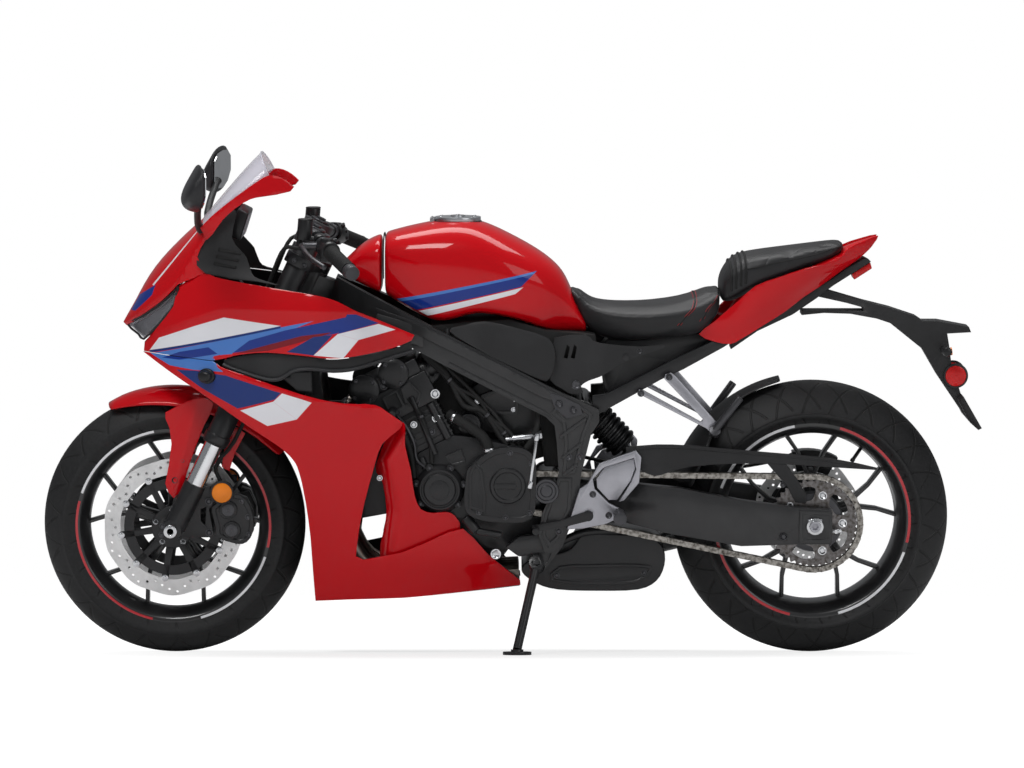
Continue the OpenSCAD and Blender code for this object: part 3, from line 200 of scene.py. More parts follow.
def line_at(stations: Line, x: float) -> float:
    """Straight-line value at x through stations of (x, value) that rise in x."""
    if x <= stations[0][0]:
        return stations[0][1]
    for (x0, v0), (x1, v1) in zip(stations, stations[1:]):
        if x <= x1:
            return lerp(v0, v1, (x - x0) / (x1 - x0))
    return stations[-1][1]


def soft_step(edge: float, width: float, value: float) -> float:
    """Rises smoothly from 0 below edge - width to the straight line value - edge above it."""
    t = value - edge
    return 0.5 * (t + math.sqrt(t * t + width * width))


def within(outline: Sequence[Flat], x: float, z: float) -> bool:
    """Whether a point lies inside a closed outline."""
    inside = False
    for (x0, z0), (x1, z1) in zip(outline, list(outline[1:]) + [outline[0]]):
        if (z0 > z) != (z1 > z) and x < (x1 - x0) * (z - z0) / (z1 - z0) + x0:
            inside = not inside
    return inside


# ---------------------------------------------------------------- materials


class Value:
    """A node socket that takes part in Python expressions."""

    def __init__(self, tree: "Tree", socket: bpy.types.NodeSocket) -> None:
        """Wraps one output socket of a tree."""
        self.tree, self.socket = tree, socket

    def _math(self, operation: str, *values: Number, clamp: bool = False) -> "Value":
        """One Math node on values."""
        return self.tree.node("ShaderNodeMath", {"operation": operation, "use_clamp": clamp}, list(values))

    def __add__(self, other: Number) -> "Value":
        """Sum."""
        return self._math("ADD", self, other)

    __radd__ = __add__

    def __sub__(self, other: Number) -> "Value":
        """Difference."""
        return self._math("SUBTRACT", self, other)

    def __rsub__(self, other: Number) -> "Value":
        """Difference from a number."""
        return self._math("SUBTRACT", other, self)

    def __mul__(self, other: Number) -> "Value":
        """Product."""
        return self._math("MULTIPLY", self, other)

    __rmul__ = __mul__

    def __truediv__(self, other: Number) -> "Value":
        """Quotient."""
        return self._math("DIVIDE", self, other)

    def ramp(self, low: float, high: float) -> "Value":
        """0 below low, 1 above high and straight between them."""
        scale = 1 / (high - low)
        return self._math("MULTIPLY_ADD", self, scale, -low * scale, clamp=True)

    def absolute(self) -> "Value":
        """Size without its sign."""
        return self._math("ABSOLUTE", self)

    def wave(self) -> "Value":
        """Sine of the value in radians."""
        return self._math("SINE", self)

    def fraction(self) -> "Value":
        """What is left over whole numbers."""
        return self._math("FRACT", self)

    def highest(self, other: Number) -> "Value":
        """The higher of two values."""
        return self._math("MAXIMUM", self, other)


class Tree:
    """A material's nodes, with one method that makes any node."""

    def __init__(self, name: str) -> None:
        """Starts a material with one Principled shader."""
        self.material = bpy.data.materials.new(name)
        self.material.use_nodes = True
        self.nodes = self.material.node_tree.nodes
        self.links = self.material.node_tree.links
        self.shader = next(n for n in self.nodes if n.type == "BSDF_PRINCIPLED")
        self._bike: Optional[Value] = None

    def node(self, kind: str, settings: Optional[dict] = None, values: Union[dict, list, None] = None,
            output: Union[int, str] = 0) -> Value:
        """Makes a node.

        Args:
            kind: The node's type.
            settings: Properties that are set first; a ramp's stops are under "stops".
            values: Numbers, colours or links for its inputs, by name or in order.
            output: The output that is wanted.

        Returns:
            That output as a value.
        """
        made = self.nodes.new(kind)
        for key, setting in (settings or {}).items():
            if key == "stops":
                while len(made.color_ramp.elements) < len(setting):
                    made.color_ramp.elements.new(1.0)
                for element, (place, colour) in zip(made.color_ramp.elements, setting):
                    element.position = place
                    element.color = (*colour, 1.0)
            else:
                setattr(made, key, setting)
        pairs = values.items() if isinstance(values, dict) else enumerate(values or [])
        for key, value in pairs:
            self.feed(made.inputs[key], value)
        return Value(self, made.outputs[output])

    def feed(self, socket: bpy.types.NodeSocket, value: object) -> None:
        """Links a value to a socket, or sets the socket to a constant."""
        if isinstance(value, Value):
            self.links.new(value.socket, socket)
        elif isinstance(value, (tuple, list)) and len(value) == 3 and socket.type == "RGBA":
            socket.default_value = (*value, 1.0)
        elif value is not None:
            socket.default_value = value

    def set(self, **values: object) -> None:
        """Feeds the shader's inputs, named with underscores for spaces."""
        for name, value in values.items():
            self.feed(self.shader.inputs[name.replace("_", " ")], value)

    def bike(self) -> Value:
        """Coordinates in the upright bike, in metres, that stay with the piece."""
        if self._bike is None:
            middle = STANCE.middle() * 0.001
            back = Matrix.Rotation(-STANCE.lean, 3, "X")
            coords = self.node("ShaderNodeTexCoord", output="Object")
            self._bike = self.node("ShaderNodeMapping", {"vector_type": "POINT"}, {"Vector": coords,
                "Location": tuple(back @ middle), "Rotation": (-STANCE.lean, 0, 0)})
        return self._bike

    def axes(self, vector: Value) -> tuple[Value, Value, Value]:
        """The three parts of a vector."""
        split = self.nodes.new("ShaderNodeSeparateXYZ")
        self.links.new(vector.socket, split.inputs[0])
        return tuple(Value(self, o) for o in split.outputs)

    def noise(self, scale: float, detail: float = 3.0, vector: Optional[Value] = None) -> Value:
        """Even noise, with scale in spots to the metre."""
        return self.node("ShaderNodeTexNoise", {"noise_dimensions": "3D"}, {"Vector": vector or self.bike(),
            "Scale": scale, "Detail": detail})

    def blend(self, factor: Number, a: object, b: object) -> Value:
        """Mix of two colours."""
        made = self.nodes.new("ShaderNodeMix")
        made.data_type = "RGBA"
        self.feed(made.inputs["Factor"], factor)
        for name, colour in (("A", a), ("B", b)):
            socket = next(s for s in made.inputs if s.name == name and s.type == "RGBA")
            self.feed(socket, colour)
        return Value(self, next(s for s in made.outputs if s.type == "RGBA"))

    def bump(self, height: Value, strength: float, distance: float) -> None:
        """Raises the surface by a height."""
        bump = self.node("ShaderNodeBump", None, {"Strength": strength, "Distance": distance,
            "Height": height})
        self.set(Normal=bump)

    def half_plane(self, a: Flat, b: Flat) -> Value:
        """1 on the right of the line from a to b, seen from the bike's left, in millimetres."""
        dx, dz = b[0] - a[0], b[1] - a[1]
        size = math.hypot(dx, dz)
        nx, nz = dz / size, -dx / size
        dot = self.node("ShaderNodeVectorMath", {"operation": "DOT_PRODUCT"}, {0: self.bike(),
            1: (nx * 1000, 0.0, nz * 1000)}, "Value")
        offset = nx * a[0] + nz * a[1]
        return dot.ramp(offset - EDGE_BLUR, offset + EDGE_BLUR)

    def patch(self, outline: Sequence[Flat]) -> Value:
        """Mask of a convex outline in the side plane."""
        area = sum(p[0] * q[1] - q[0] * p[1] for p, q in zip(outline, list(outline[1:]) + [outline[0]]))
        points = list(reversed(outline)) if area > 0 else list(outline)
        mask: Optional[Value] = None
        for a, b in zip(points, points[1:] + points[:1]):
            side = self.half_plane(a, b)
            mask = side if mask is None else mask * side
        return mask


@dataclass(frozen=True)
class Stripe:
    """A convex patch of another colour on painted panels."""

    colour: Colour
    outline: tuple[Flat, ...]


@dataclass(frozen=True)
class Gloss:
    """Gloss paint with stripes under a clear coat, some stripes being painted highlight and painted shade; a
    lined panel is dark on its inner face.
    """

    name: str
    base: Colour = (0.60, 0.008, 0.018)
    stripes: tuple[Stripe, ...] = ()
    roughness: float = 0.32
    lined: bool = False
    lining: Colour = (0.016, 0.016, 0.017)

    def make(self) -> bpy.types.Material:
        """Builds the material."""
        tree = Tree(self.name)
        tint = tree.noise(3.0, 2.0).ramp(0.3, 0.7)
        colour = tree.blend(tint, tuple(c * 0.93 for c in self.base), self.base)
        # The stripes lay the livery, and on the cowls and tank also painted highlight and painted shade.
        for stripe in self.stripes:
            colour = tree.blend(tree.patch(stripe.outline), colour, stripe.colour)
        outward, rough = 1.0, self.roughness
        if self.lined:
            facing = tree.axes(tree.node("ShaderNodeTexCoord", {}, {},
                "Normal"))[1] * tree.axes(tree.bike())[1]
            outward = facing.ramp(-0.02, -0.008)
            colour = tree.blend(outward, self.lining, colour)
            rough = (1 - outward) * 0.25 + self.roughness
        tree.set(Base_Color=colour, Roughness=rough, Coat_Weight=outward * 0.6, Coat_Roughness=0.03,
            Specular_IOR_Level=0.04)
        tree.bump(tree.noise(900.0, 1.0), 0.04, 0.0004)
        return tree.material


@dataclass(frozen=True)
class Satin:
    """Satin paint or powder coat on metal, a little worn and dusty."""

    name: str
    base: Colour = (0.022, 0.022, 0.024)
    roughness: float = 0.38
    metallic: float = 0.0
    grain: float = 500.0
    depth: float = 0.25
    coat: float = 0.25

    def make(self) -> bpy.types.Material:
        """Builds the material."""
        tree = Tree(self.name)
        cloud = tree.noise(14.0, 4.0)
        fine = tree.noise(self.grain, 2.0)
        pale = tuple(min(1.0, c * 1.4 + 0.003) for c in self.base)
        tree.set(Base_Color=tree.blend(cloud.ramp(0.35, 0.75), self.base, pale), Metallic=self.metallic,
            Roughness=cloud * 0.16 + (self.roughness - 0.06), Coat_Weight=self.coat, Coat_Roughness=0.18,
            Specular_IOR_Level=0.36)
        tree.bump(fine, self.depth, 0.0006)
        return tree.material


@dataclass(frozen=True)
class Brushed:
    """Bare or clear anodised metal with fine lines."""

    name: str
    base: Colour = (0.62, 0.63, 0.65)
    roughness: float = 0.3
    lines: float = 260.0

    def make(self) -> bpy.types.Material:
        """Builds the material."""
        tree = Tree(self.name)
        stretched = tree.node("ShaderNodeMapping", {"vector_type": "POINT"}, {"Vector": tree.bike(),
            "Scale": (0.15, 1.0, 1.0)})
        lines = tree.noise(self.lines, 3.0, stretched)
        stain = tree.noise(20.0, 3.0)
        dark = tuple(c * 0.8 for c in self.base)
        tree.set(Base_Color=tree.blend(stain.ramp(0.4, 0.8), self.base, dark), Metallic=1.0,
            Roughness=lines * 0.14 + (self.roughness - 0.07))
        tree.bump(lines, 0.12, 0.0004)
        return tree.material


@dataclass(frozen=True)
class Moulded:
    """Moulded plastic or rubber with a fine grain."""

    name: str
    base: Colour = (0.018, 0.018, 0.019)
    roughness: float = 0.5
    grain: float = 1400.0
    depth: float = 0.35

    def make(self) -> bpy.types.Material:
        """Builds the material."""
        tree = Tree(self.name)
        grain = tree.node("ShaderNodeTexVoronoi", {"feature": "F1"}, {"Vector": tree.bike(),
            "Scale": self.grain}, "Distance")
        dust = tree.noise(9.0, 4.0)
        pale = tuple(c * 1.5 + 0.004 for c in self.base)
        tree.set(Base_Color=tree.blend(dust.ramp(0.45, 0.8), self.base, pale),
            Roughness=dust * 0.12 + (self.roughness - 0.05), Specular_IOR_Level=0.34)
        tree.bump(grain, self.depth, 0.0003)
        return tree.material


@dataclass(frozen=True)
class Clear:
    """Clear or tinted plastic of screens and lenses."""

    name: str
    tint: Colour = (0.86, 0.87, 0.94)
    alpha: float = 0.4
    roughness: float = 0.04

    def make(self) -> bpy.types.Material:
        """Builds the material."""
        tree = Tree(self.name)
        haze = tree.noise(5.0, 1.0)
        tree.set(Base_Color=tree.blend(haze.ramp(0.3, 0.7), self.tint, tuple(c * 0.96 for c in self.tint)),
            Roughness=haze * 0.02 + self.roughness, Alpha=self.alpha, IOR=1.49)
        return tree.material


@dataclass(frozen=True)
class TyreTread:
    """Tyre rubber with slanted grooves in the tread and fine rings on the walls."""

    name: str
    axle: Flat
    shoulder: float
    grooves: int = 22

    def make(self) -> bpy.types.Material:
        """Builds the material."""
        tree = Tree(self.name)
        x, y, z = tree.axes(tree.bike())
        dx, dz = x - self.axle[0] / 1000, z - self.axle[1] / 1000
        turn = tree.node("ShaderNodeMath", {"operation": "ARCTAN2"}, [dz, dx])
        radius = tree.node("ShaderNodeMath", {"operation": "SQRT"}, [dx * dx + dz * dz])
        side = y.absolute() * 1000
        phase = turn * (self.grooves / (2 * math.pi))
        slant = ((phase + side * 0.016).fraction() - 0.5).absolute()
        short = ((phase + 0.5 - side * 0.011).fraction() - 0.5).absolute()
        out = side.ramp(8.0, 11.0)
        wide = (1 - slant.ramp(0.035, 0.055)) * out * (1 - side.ramp(self.shoulder - 10, self.shoulder - 6))
        small = (1 - short.ramp(0.025, 0.045)) * side.ramp(24.0, 27.0) * (1
            - side.ramp(self.shoulder - 4, self.shoulder))
        groove = wide.highest(small)
        worn = tree.noise(160.0, 3.0)
        rings = ((radius * 1000 * 0.55).wave() * 0.5 + 0.5) * (1
            - radius.ramp(0.268, 0.272)) * radius.ramp(0.234, 0.238)
        height = 1 - groove + rings * 0.06 + worn * 0.05
        base = tree.blend(worn.ramp(0.35, 0.75), (0.008, 0.008, 0.0085), (0.016, 0.016, 0.017))
        tree.set(Base_Color=tree.blend(groove, base, (0.004, 0.004, 0.004)), Roughness=worn * 0.2 + 0.52,
            Specular_IOR_Level=0.4)
        tree.bump(height, 0.7, 0.0022)
        return tree.material


@dataclass(frozen=True)
class WheelPaint:
    """Black wheel paint with red and white rim lines on the flanges."""

    name: str
    axle: Flat
    inner: float = 217.0
    outer: float = 224.5

    def arc(self, turn: Value, start: float, end: float) -> Value:
        """Mask of the angles from start to end, in degrees, past 180 allowed."""
        middle, half = (start + end) / 2, (end - start) / 2
        away = (((turn - middle) / 360 + 0.5).fraction() - 0.5).absolute() * 360
        return 1 - away.ramp(half - 0.2, half + 0.2)

    def make(self) -> bpy.types.Material:
        """Builds the material."""
        tree = Tree(self.name)
        x, _, z = tree.axes(tree.bike())
        dx, dz = x - self.axle[0] / 1000, z - self.axle[1] / 1000
        turn = tree.node("ShaderNodeMath", {"operation": "ARCTAN2"}, [dz, dx]) * math.degrees(1)
        radius = tree.node("ShaderNodeMath", {"operation": "SQRT"}, [dx * dx + dz * dz]) * 1000
        band = radius.ramp(self.inner - 0.3, self.inner + 0.3) * (1
            - radius.ramp(self.outer - 0.3, self.outer + 0.3))
        white = self.arc(turn, 101, 160) + self.arc(turn, 286, 341)
        red = self.arc(turn, 165, 257) + self.arc(turn, 347, 434)
        cloud = tree.noise(18.0, 3.0)
        base = tree.blend(cloud.ramp(0.35, 0.75), (0.012, 0.012, 0.013), (0.02, 0.02, 0.021))
        colour = tree.blend(band * white, tree.blend(band * red, base, (0.5, 0.01, 0.02)), (0.8, 0.8, 0.82))
        tree.set(Base_Color=colour, Roughness=cloud * 0.1 + 0.28, Coat_Weight=0.6, Coat_Roughness=0.12)
        tree.bump(tree.noise(700.0, 2.0), 0.12, 0.0004)
        return tree.material


@dataclass(frozen=True)
class SeatVinyl:
    """Grained vinyl of the seats, with pressed pleats where the seat has them."""

    name: str
    base: Colour = (0.008, 0.008, 0.009)
    pleats: float = 0.0

    def make(self) -> bpy.types.Material:
        """Builds the material."""
        tree = Tree(self.name)
        grain = tree.node("ShaderNodeTexVoronoi", {"feature": "SMOOTH_F1"}, {"Vector": tree.bike(),
            "Scale": 620.0}, "Distance")
        x, y, _ = tree.axes(tree.bike())
        height = grain * 0.18
        if self.pleats:
            lines = ((y.absolute() * 0.9 + x) * self.pleats).fraction()
            height = height + (1 - (lines - 0.5).absolute().ramp(0.0, 0.09)) * -0.9
        wear = tree.noise(12.0, 4.0)
        tree.set(Base_Color=tree.blend(wear.ramp(0.4, 0.8), self.base, tuple(c * 1.7 for c in self.base)),
            Roughness=wear * 0.15 + 0.42, Specular_IOR_Level=0.45)
        tree.bump(height, 0.5, 0.0012)
        return tree.material


@dataclass(frozen=True)
class ChainMetal:
    """Plated chain steel with patches of oil film."""

    name: str
    base: Colour = (0.42, 0.40, 0.37)

    def make(self) -> bpy.types.Material:
        """Builds the material."""
        tree = Tree(self.name)
        oil = tree.noise(120.0, 3.0)
        tree.set(Base_Color=tree.blend(oil.ramp(0.4, 0.7), self.base, (0.07, 0.06, 0.05)), Metallic=1.0,
            Roughness=oil * 0.25 + 0.24)
        tree.bump(oil, 0.15, 0.0004)
        return tree.material


RED = (0.58, 0.0015, 0.006)
WHITE = (0.80, 0.80, 0.84)
BLUE = (0.010, 0.034, 0.24)
# Light blue that paints the highlight where light falls on the blue paint.
PAINTED_HIGHLIGHT_BLUE = (0.070, 0.200, 0.56)
NAVY = (0.008, 0.030, 0.17)
# Dark red that paints the shade on the recess lip below the blue band.
PAINTED_SHADE_RED = (0.20, 0.002, 0.010)

# Stripes of the side cowls: livery, with painted highlights in light blue and a band of painted shade in dark
# red.
COWL_STRIPES_AND_PAINTED_LIGHT = (
    # Painted highlights: light blue along the top of the blue band, out to the crease, and over its front.
    Stripe(PAINTED_HIGHLIGHT_BLUE, ((-770, 697), (-469, 769), (-319, 799), (-310, 795), (-578, 709), (-600, 700))),
    Stripe(PAINTED_HIGHLIGHT_BLUE, ((-770, 697), (-600, 712), (-578, 709), (-596, 666), (-665, 667), (-724, 674))),
    Stripe(BLUE, ((-742, 690), (-700, 706), (-633, 720), (-612, 706), (-700, 688))),
    Stripe(BLUE, ((-578, 709), (-540, 738), (-460, 762), (-310, 796), (-342, 757), (-470, 728))),
    Stripe(BLUE, ((-321, 799), (-301, 799), (-251, 780), (-342, 755))),
    Stripe(NAVY, ((-772, 704), (-469, 773), (-469, 767), (-772, 698))),
    Stripe(WHITE, ((-772, 704), (-749, 734), (-665, 766), (-597, 788), (-469, 772))),
    # Painted shade: dark red band along the recess lip below the blue band.
    Stripe(PAINTED_SHADE_RED, ((-575, 708), (-528, 721), (-438, 748), (-355, 759), (-365, 754), (-438, 732),
                    (-556, 700))),
    Stripe(NAVY, ((-456, 714), (-396, 748), (-353, 753), (-396, 707))),
    Stripe(WHITE, ((-396, 707), (-342, 755), (-296, 742), (-330, 701))),
    Stripe(WHITE, ((-342, 755), (-251, 778), (-214, 765), (-296, 742))),
    Stripe(NAVY, ((-718, 672), (-665, 666), (-596, 667), (-567, 584), (-651, 628))),
    Stripe(NAVY, ((-600, 667), (-551, 651), (-469, 623), (-483, 607), (-556, 587), (-569, 584))),
    Stripe(WHITE, ((-562, 580), (-487, 602), (-435, 562), (-501, 546))),
    Stripe(WHITE, ((-487, 602), (-465, 623), (-401, 601), (-435, 562))),
    Stripe(RED, ((-622, 700), (-606, 704), (-586, 677), (-596, 664), (-612, 676))),
    Stripe(RED, ((-600, 676), (-400, 620), (-401, 602), (-600, 660))),
    Stripe(RED, ((-625, 696), (-603, 704), (-500, 716), (-500, 705), (-603, 690))),
)
# Stripes of the tank: livery and one painted highlight.
TANK_STRIPES_AND_HIGHLIGHT = (
    Stripe(BLUE, ((-215, 822), (100, 886), (65, 852), (-170, 798))),
    # Painted highlight: light blue line along the top edge of the blue stripe.
    Stripe(PAINTED_HIGHLIGHT_BLUE, ((-215, 822), (100, 886), (94, 880), (-206, 816))),
    Stripe(WHITE, ((-165, 796), (70, 851), (52, 836), (-145, 785))),
)
NOSE_STRIPES = (
    Stripe(BLUE, ((-818, 790), (-797, 826), (-756, 853), (-765, 829), (-806, 790))),
    Stripe(WHITE, ((-764, 852), (-650, 988), (-648, 988), (-761, 850))),
)


class Finishes:
    """All the finishes, each made once when it is first used."""

    def __init__(self) -> None:
        """Lists the finishes by name."""
        self.made: dict[str, bpy.types.Material] = {}
        kinds = [
            Gloss("red", RED), Gloss("cowl_livery_and_painted_light", RED, COWL_STRIPES_AND_PAINTED_LIGHT, lined=True),
            Gloss("tank_livery_and_highlight", RED, TANK_STRIPES_AND_HIGHLIGHT), Gloss("nose_livery", RED, NOSE_STRIPES),
            Satin("satin_black", (0.008, 0.008, 0.009)),
            Satin("frame_grey", (0.018, 0.018, 0.019), 0.36, coat=0.35),
            Satin("cast_grey", (0.05, 0.05, 0.054), 0.42, 0.5, 260.0, 0.4, 0.0),
            Satin("engine_black", (0.011, 0.011, 0.012), 0.42, 0.0, 300.0, 0.5, 0.2),
            Satin("dark_metal", (0.07, 0.07, 0.075), 0.34, 0.8, 300.0, 0.2, 0.0),
            Satin("seal", (0.010, 0.010, 0.010), 0.7, coat=0.0),
            Brushed("bare_metal"), Brushed("chrome", (0.86, 0.87, 0.89), 0.12, 200.0),
            Brushed("bright_bolt", (0.72, 0.73, 0.75), 0.2, 500.0),
            Brushed("rotor", (0.82, 0.82, 0.82), 0.42, 420.0),
            Brushed("pale_alloy", (0.48, 0.48, 0.52), 0.42),
            Brushed("heated_steel", (0.30, 0.27, 0.24), 0.4, 150.0),
            Moulded("black_plastic"), Moulded("smooth_plastic", (0.012, 0.012, 0.013), 0.3, 900.0, 0.08),
            Moulded("grey_plastic", (0.020, 0.020, 0.022), 0.36),
            Moulded("grip_rubber", (0.011, 0.011, 0.011), 0.75),
            Clear("screen", (0.78, 0.77, 0.86), 0.5), Clear("lens", (0.12, 0.12, 0.13), 0.26),
            Moulded("amber", (0.75, 0.20, 0.01), 0.12, 500.0, 0.3),
            Moulded("red_lens", (0.5, 0.01, 0.01), 0.12, 500.0, 0.3),
            Brushed("mirror_glass", (0.86, 0.87, 0.89), 0.08, 50.0),
            TyreTread("front_tread", STANCE.front_axle, 57),
            TyreTread("rear_tread", STANCE.rear_axle, 86, 26),
            WheelPaint("front_rim_paint", STANCE.front_axle), WheelPaint("rear_rim_paint", STANCE.rear_axle),
            SeatVinyl("seat_vinyl"), SeatVinyl("pillion_vinyl", pleats=22.0),
            Moulded("stitching", (0.30, 0.010, 0.014), 0.6, 900.0, 0.2),
            ChainMetal("chain_metal"), ChainMetal("sprocket_steel", (0.20, 0.19, 0.19)),
        ]
        self.kinds = {kind.name: kind for kind in kinds}

    def get(self, name: str) -> bpy.types.Material:
        """The material of a finish."""
        if name not in self.made:
            self.made[name] = self.kinds[name].make()
        return self.made[name]


# ---------------------------------------------------------------- shapes


def ease(bm: bmesh.types.BMesh, edges: Sequence[bmesh.types.BMEdge], width: float, segments: int = 2) -> None:
    """Rounds edges of a mesh."""
    bmesh.ops.bevel(bm, geom=edges, offset=width, offset_type="OFFSET", segments=segments, profile=0.5,
        affect="EDGES", clamp_overlap=True, material=-1)


def sharp(bm: bmesh.types.BMesh, angle: float) -> list[bmesh.types.BMEdge]:
    """Edges between two faces that meet at more than an angle in radians."""
    return [e for e in bm.edges if len(e.link_faces) == 2 and e.calc_face_angle(0) > angle]


def push(bm: bmesh.types.BMesh, face: bmesh.types.BMFace, way: Sequence[float], keep: bool = True) -> None:
    """Extrudes a face by a vector and keeps or drops the face itself."""
    made = bmesh.ops.extrude_face_region(bm, geom=[face], use_keep_orig=keep)
    bmesh.ops.translate(bm, vec=way, verts=[v for v in made["geom"] if isinstance(v, bmesh.types.BMVert)])


def placed(name: str, data: bpy.types.ID) -> bpy.types.Object:
    """New object of the scene with its data."""
    piece = bpy.data.objects.new(name, data)
    bpy.context.scene.collection.objects.link(piece)
    return piece


def mesh_of(name: str, bm: bmesh.types.BMesh) -> bpy.types.Mesh:
    """Mesh made of a working mesh, which is freed."""
    mesh = bpy.data.meshes.new(name)
    bm.to_mesh(mesh)
    bm.free()
    return mesh


def evaluated(piece: bpy.types.Object) -> bpy.types.Mesh:
    """Mesh of a piece with its modifiers applied, which it then loses."""
    graph = bpy.context.evaluated_depsgraph_get()
    mesh = bpy.data.meshes.new_from_object(piece.evaluated_get(graph))
    piece.modifiers.clear()
    return mesh


@dataclass
class Shape:
    """A piece in the making, in the upright bike's millimetres."""

    bm: bmesh.types.BMesh = field(default_factory=bmesh.new)

    def take(self, other: bmesh.types.BMesh, turn: Optional[Matrix] = None) -> "Shape":
        """Adds another mesh, turned or moved first, and frees it."""
        if turn is not None:
            bmesh.ops.transform(other, matrix=turn, verts=other.verts)
        held = mesh_of("held", other)
        self.bm.from_mesh(held)
        bpy.data.meshes.remove(held)
        return self

    def prism(self, outline: Sequence[Flat], y0: float, y1: float, bevel: float = 0.0, segments: int = 2,
            inset: float = 0.0, step: float = 0.0) -> "Shape":
        """Plate between two offsets, with rounded rims and an optional raised or sunk field.

        Args:
            outline: Corners in the side plane.
            y0: Outer offset, the face that bears the field.
            y1: Inner offset.
            bevel: Width of the rounded rims.
            segments: Steps of the rounding.
            inset: Width of the rim around the field; 0 for none.
            step: Depth of the field; negative raises it.

        Returns:
            This shape.
        """
        bm = bmesh.new()
        face = bm.faces.new([bm.verts.new((x, y0, z)) for x, z in outline])
        away = 1 if y1 > y0 else -1
        push(bm, face, (0, y1 - y0, 0))
        bmesh.ops.recalc_face_normals(bm, faces=bm.faces)
        if inset:
            bmesh.ops.inset_region(bm, faces=[face], thickness=inset, use_even_offset=True)
            bmesh.ops.inset_region(bm, faces=[face], thickness=max(0.6, abs(step) * 0.5),
                use_even_offset=True)
            bmesh.ops.translate(bm, vec=(0, away * step, 0), verts=face.verts)
        if bevel:
            ease(bm, sharp(bm, PLATE_EDGE), bevel, segments)
        return self.take(bm)

    def rod(self, centre: Flat, radius: float, y0: float, y1: float, bevel: float = 0.0,
            sides: int = 32) -> "Shape":
        """Round bar along the bike's width."""
        x, z = centre
        return self.bar((x, y0, z), (x, y1, z), radius, bevel, sides)

    def bar(self, a: Sequence[float], b: Sequence[float], radius: float, bevel: float = 0.0, sides: int = 24,
            radius_end: Optional[float] = None) -> "Shape":
        """Round bar between two points."""
        a, b = Vector(a), Vector(b)
        bm = bmesh.new()
        end = radius if radius_end is None else radius_end
        bmesh.ops.create_cone(bm, cap_ends=True, segments=sides, radius1=radius, radius2=end,
            depth=(b - a).length)
        if bevel:
            rims = [e for e in bm.edges if any(len(f.verts) > 4 for f in e.link_faces)]
            ease(bm, rims, bevel)
        turn = (b - a).to_track_quat("Z", "Y").to_matrix().to_4x4()
        return self.take(bm, Matrix.Translation((a + b) / 2) @ turn)

    def bolt(self, spot: Sequence[float], toward: Sequence[float], size: float = 6.0,
            high: float = 4.0) -> "Shape":
        """Socket-head bolt with a sunk hexagon and a washer."""
        bm = bmesh.new()
        bmesh.ops.create_cone(bm, cap_ends=True, segments=18, radius1=size, radius2=size, depth=high)
        top = max(bm.faces, key=lambda f: f.calc_center_median().z)
        bmesh.ops.inset_region(bm, faces=[top], thickness=size * 0.42)
        bmesh.ops.translate(bm, vec=(0, 0, -high * 0.55), verts=top.verts)
        ease(bm, [e for e in sharp(bm, BOLT_EDGE) if e.verts[0].co.z > 0], size * 0.1, 1)
        washer = bmesh.new()
        bmesh.ops.create_cone(washer, cap_ends=True, segments=18, radius1=size * 1.35, radius2=size * 1.3,
            depth=high * 0.3)
        bmesh.ops.translate(washer, vec=(0, 0, -high * 0.45), verts=washer.verts)
        turn = Matrix.Translation(Vector(spot)) @ Vector(toward).to_track_quat("Z", "Y").to_matrix().to_4x4()
        return self.take(bm, turn).take(washer, turn)

    def bolts(self, spots: Iterable[Flat], y: float, size: float = 6.0, high: float = 4.0) -> "Shape":
        """Bolts that face out to the side, at an offset."""
        for x, z in spots:
            self.bolt((x, y, z), (0, -1 if y < 0 else 1, 0), size, high)
        return self

    def lathe(self, centre: Flat, profile: Sequence[Flat], steps: int = 96) -> "Shape":
        """Turns a closed profile of (radius, y) about an axle."""
        bm = bmesh.new()
        x, z = centre
        verts = [bm.verts.new((x + r, y, z)) for r, y in profile]
        edges = [bm.edges.new((verts[i], verts[(i + 1) % len(verts)])) for i in range(len(verts))]
        bmesh.ops.spin(bm, geom=verts + edges, cent=(x, 0, z), axis=(0, 1, 0), angle=2 * math.pi, steps=steps,
            use_merge=True, use_duplicate=False)
        bmesh.ops.remove_doubles(bm, verts=bm.verts, dist=0.01)
        return self.take(bm)

    def loft(self, rings: Sequence[Line]) -> "Shape":
        """Closed skin bridged through rings of equal length."""
        bm = bmesh.new()
        loops = []
        for ring in rings:
            verts = [bm.verts.new(p) for p in ring]
            loops.append([bm.edges.new((verts[i], verts[(i + 1) % len(verts)])) for i in range(len(verts))])
        for a, b in zip(loops, loops[1:]):
            bmesh.ops.bridge_loops(bm, edges=a + b)
        for loop in (loops[0], loops[-1]):
            bmesh.ops.contextual_create(bm, geom=loop)
        return self.take(bm)

    def sheet(self, rows: Sequence[Line]) -> "Shape":
        """Open skin bridged through rows of equal length, with its faces turned up."""
        bm = bmesh.new()
        lines = [[bm.verts.new(p) for p in row] for row in rows]
        strips = [[bm.edges.new(pair) for pair in zip(line, line[1:])] for line in lines]
        for a, b in zip(strips, strips[1:]):
            bmesh.ops.bridge_loops(bm, edges=a + b)
        bmesh.ops.recalc_face_normals(bm, faces=bm.faces)
        if sum(f.normal.z for f in bm.faces) < 0:
            bmesh.ops.reverse_faces(bm, faces=bm.faces)
        return self.take(bm)

    def tube(self, path: Line, radius: Union[float, Sequence[float]], sides: int = 12) -> "Shape":
        """Round hose or pipe along a path, with one radius or one for each point."""
        points = [Vector(p) for p in path]
        side: Optional[Vector] = None
        rings = []
        for i, point in enumerate(points):
            along = (points[min(i + 1, len(points) - 1)] - points[max(i - 1, 0)]).normalized()
            if side is None:
                side = along.orthogonal().normalized()
            side = (side - along * side.dot(along)).normalized()
            other = along.cross(side)
            r = radius if isinstance(radius, (int, float)) else radius[i]
            rings.append([point + r * (math.cos(2 * math.pi * k / sides) * side
                + math.sin(2 * math.pi * k / sides) * other) for k in range(sides)])
        return self.loft(rings)

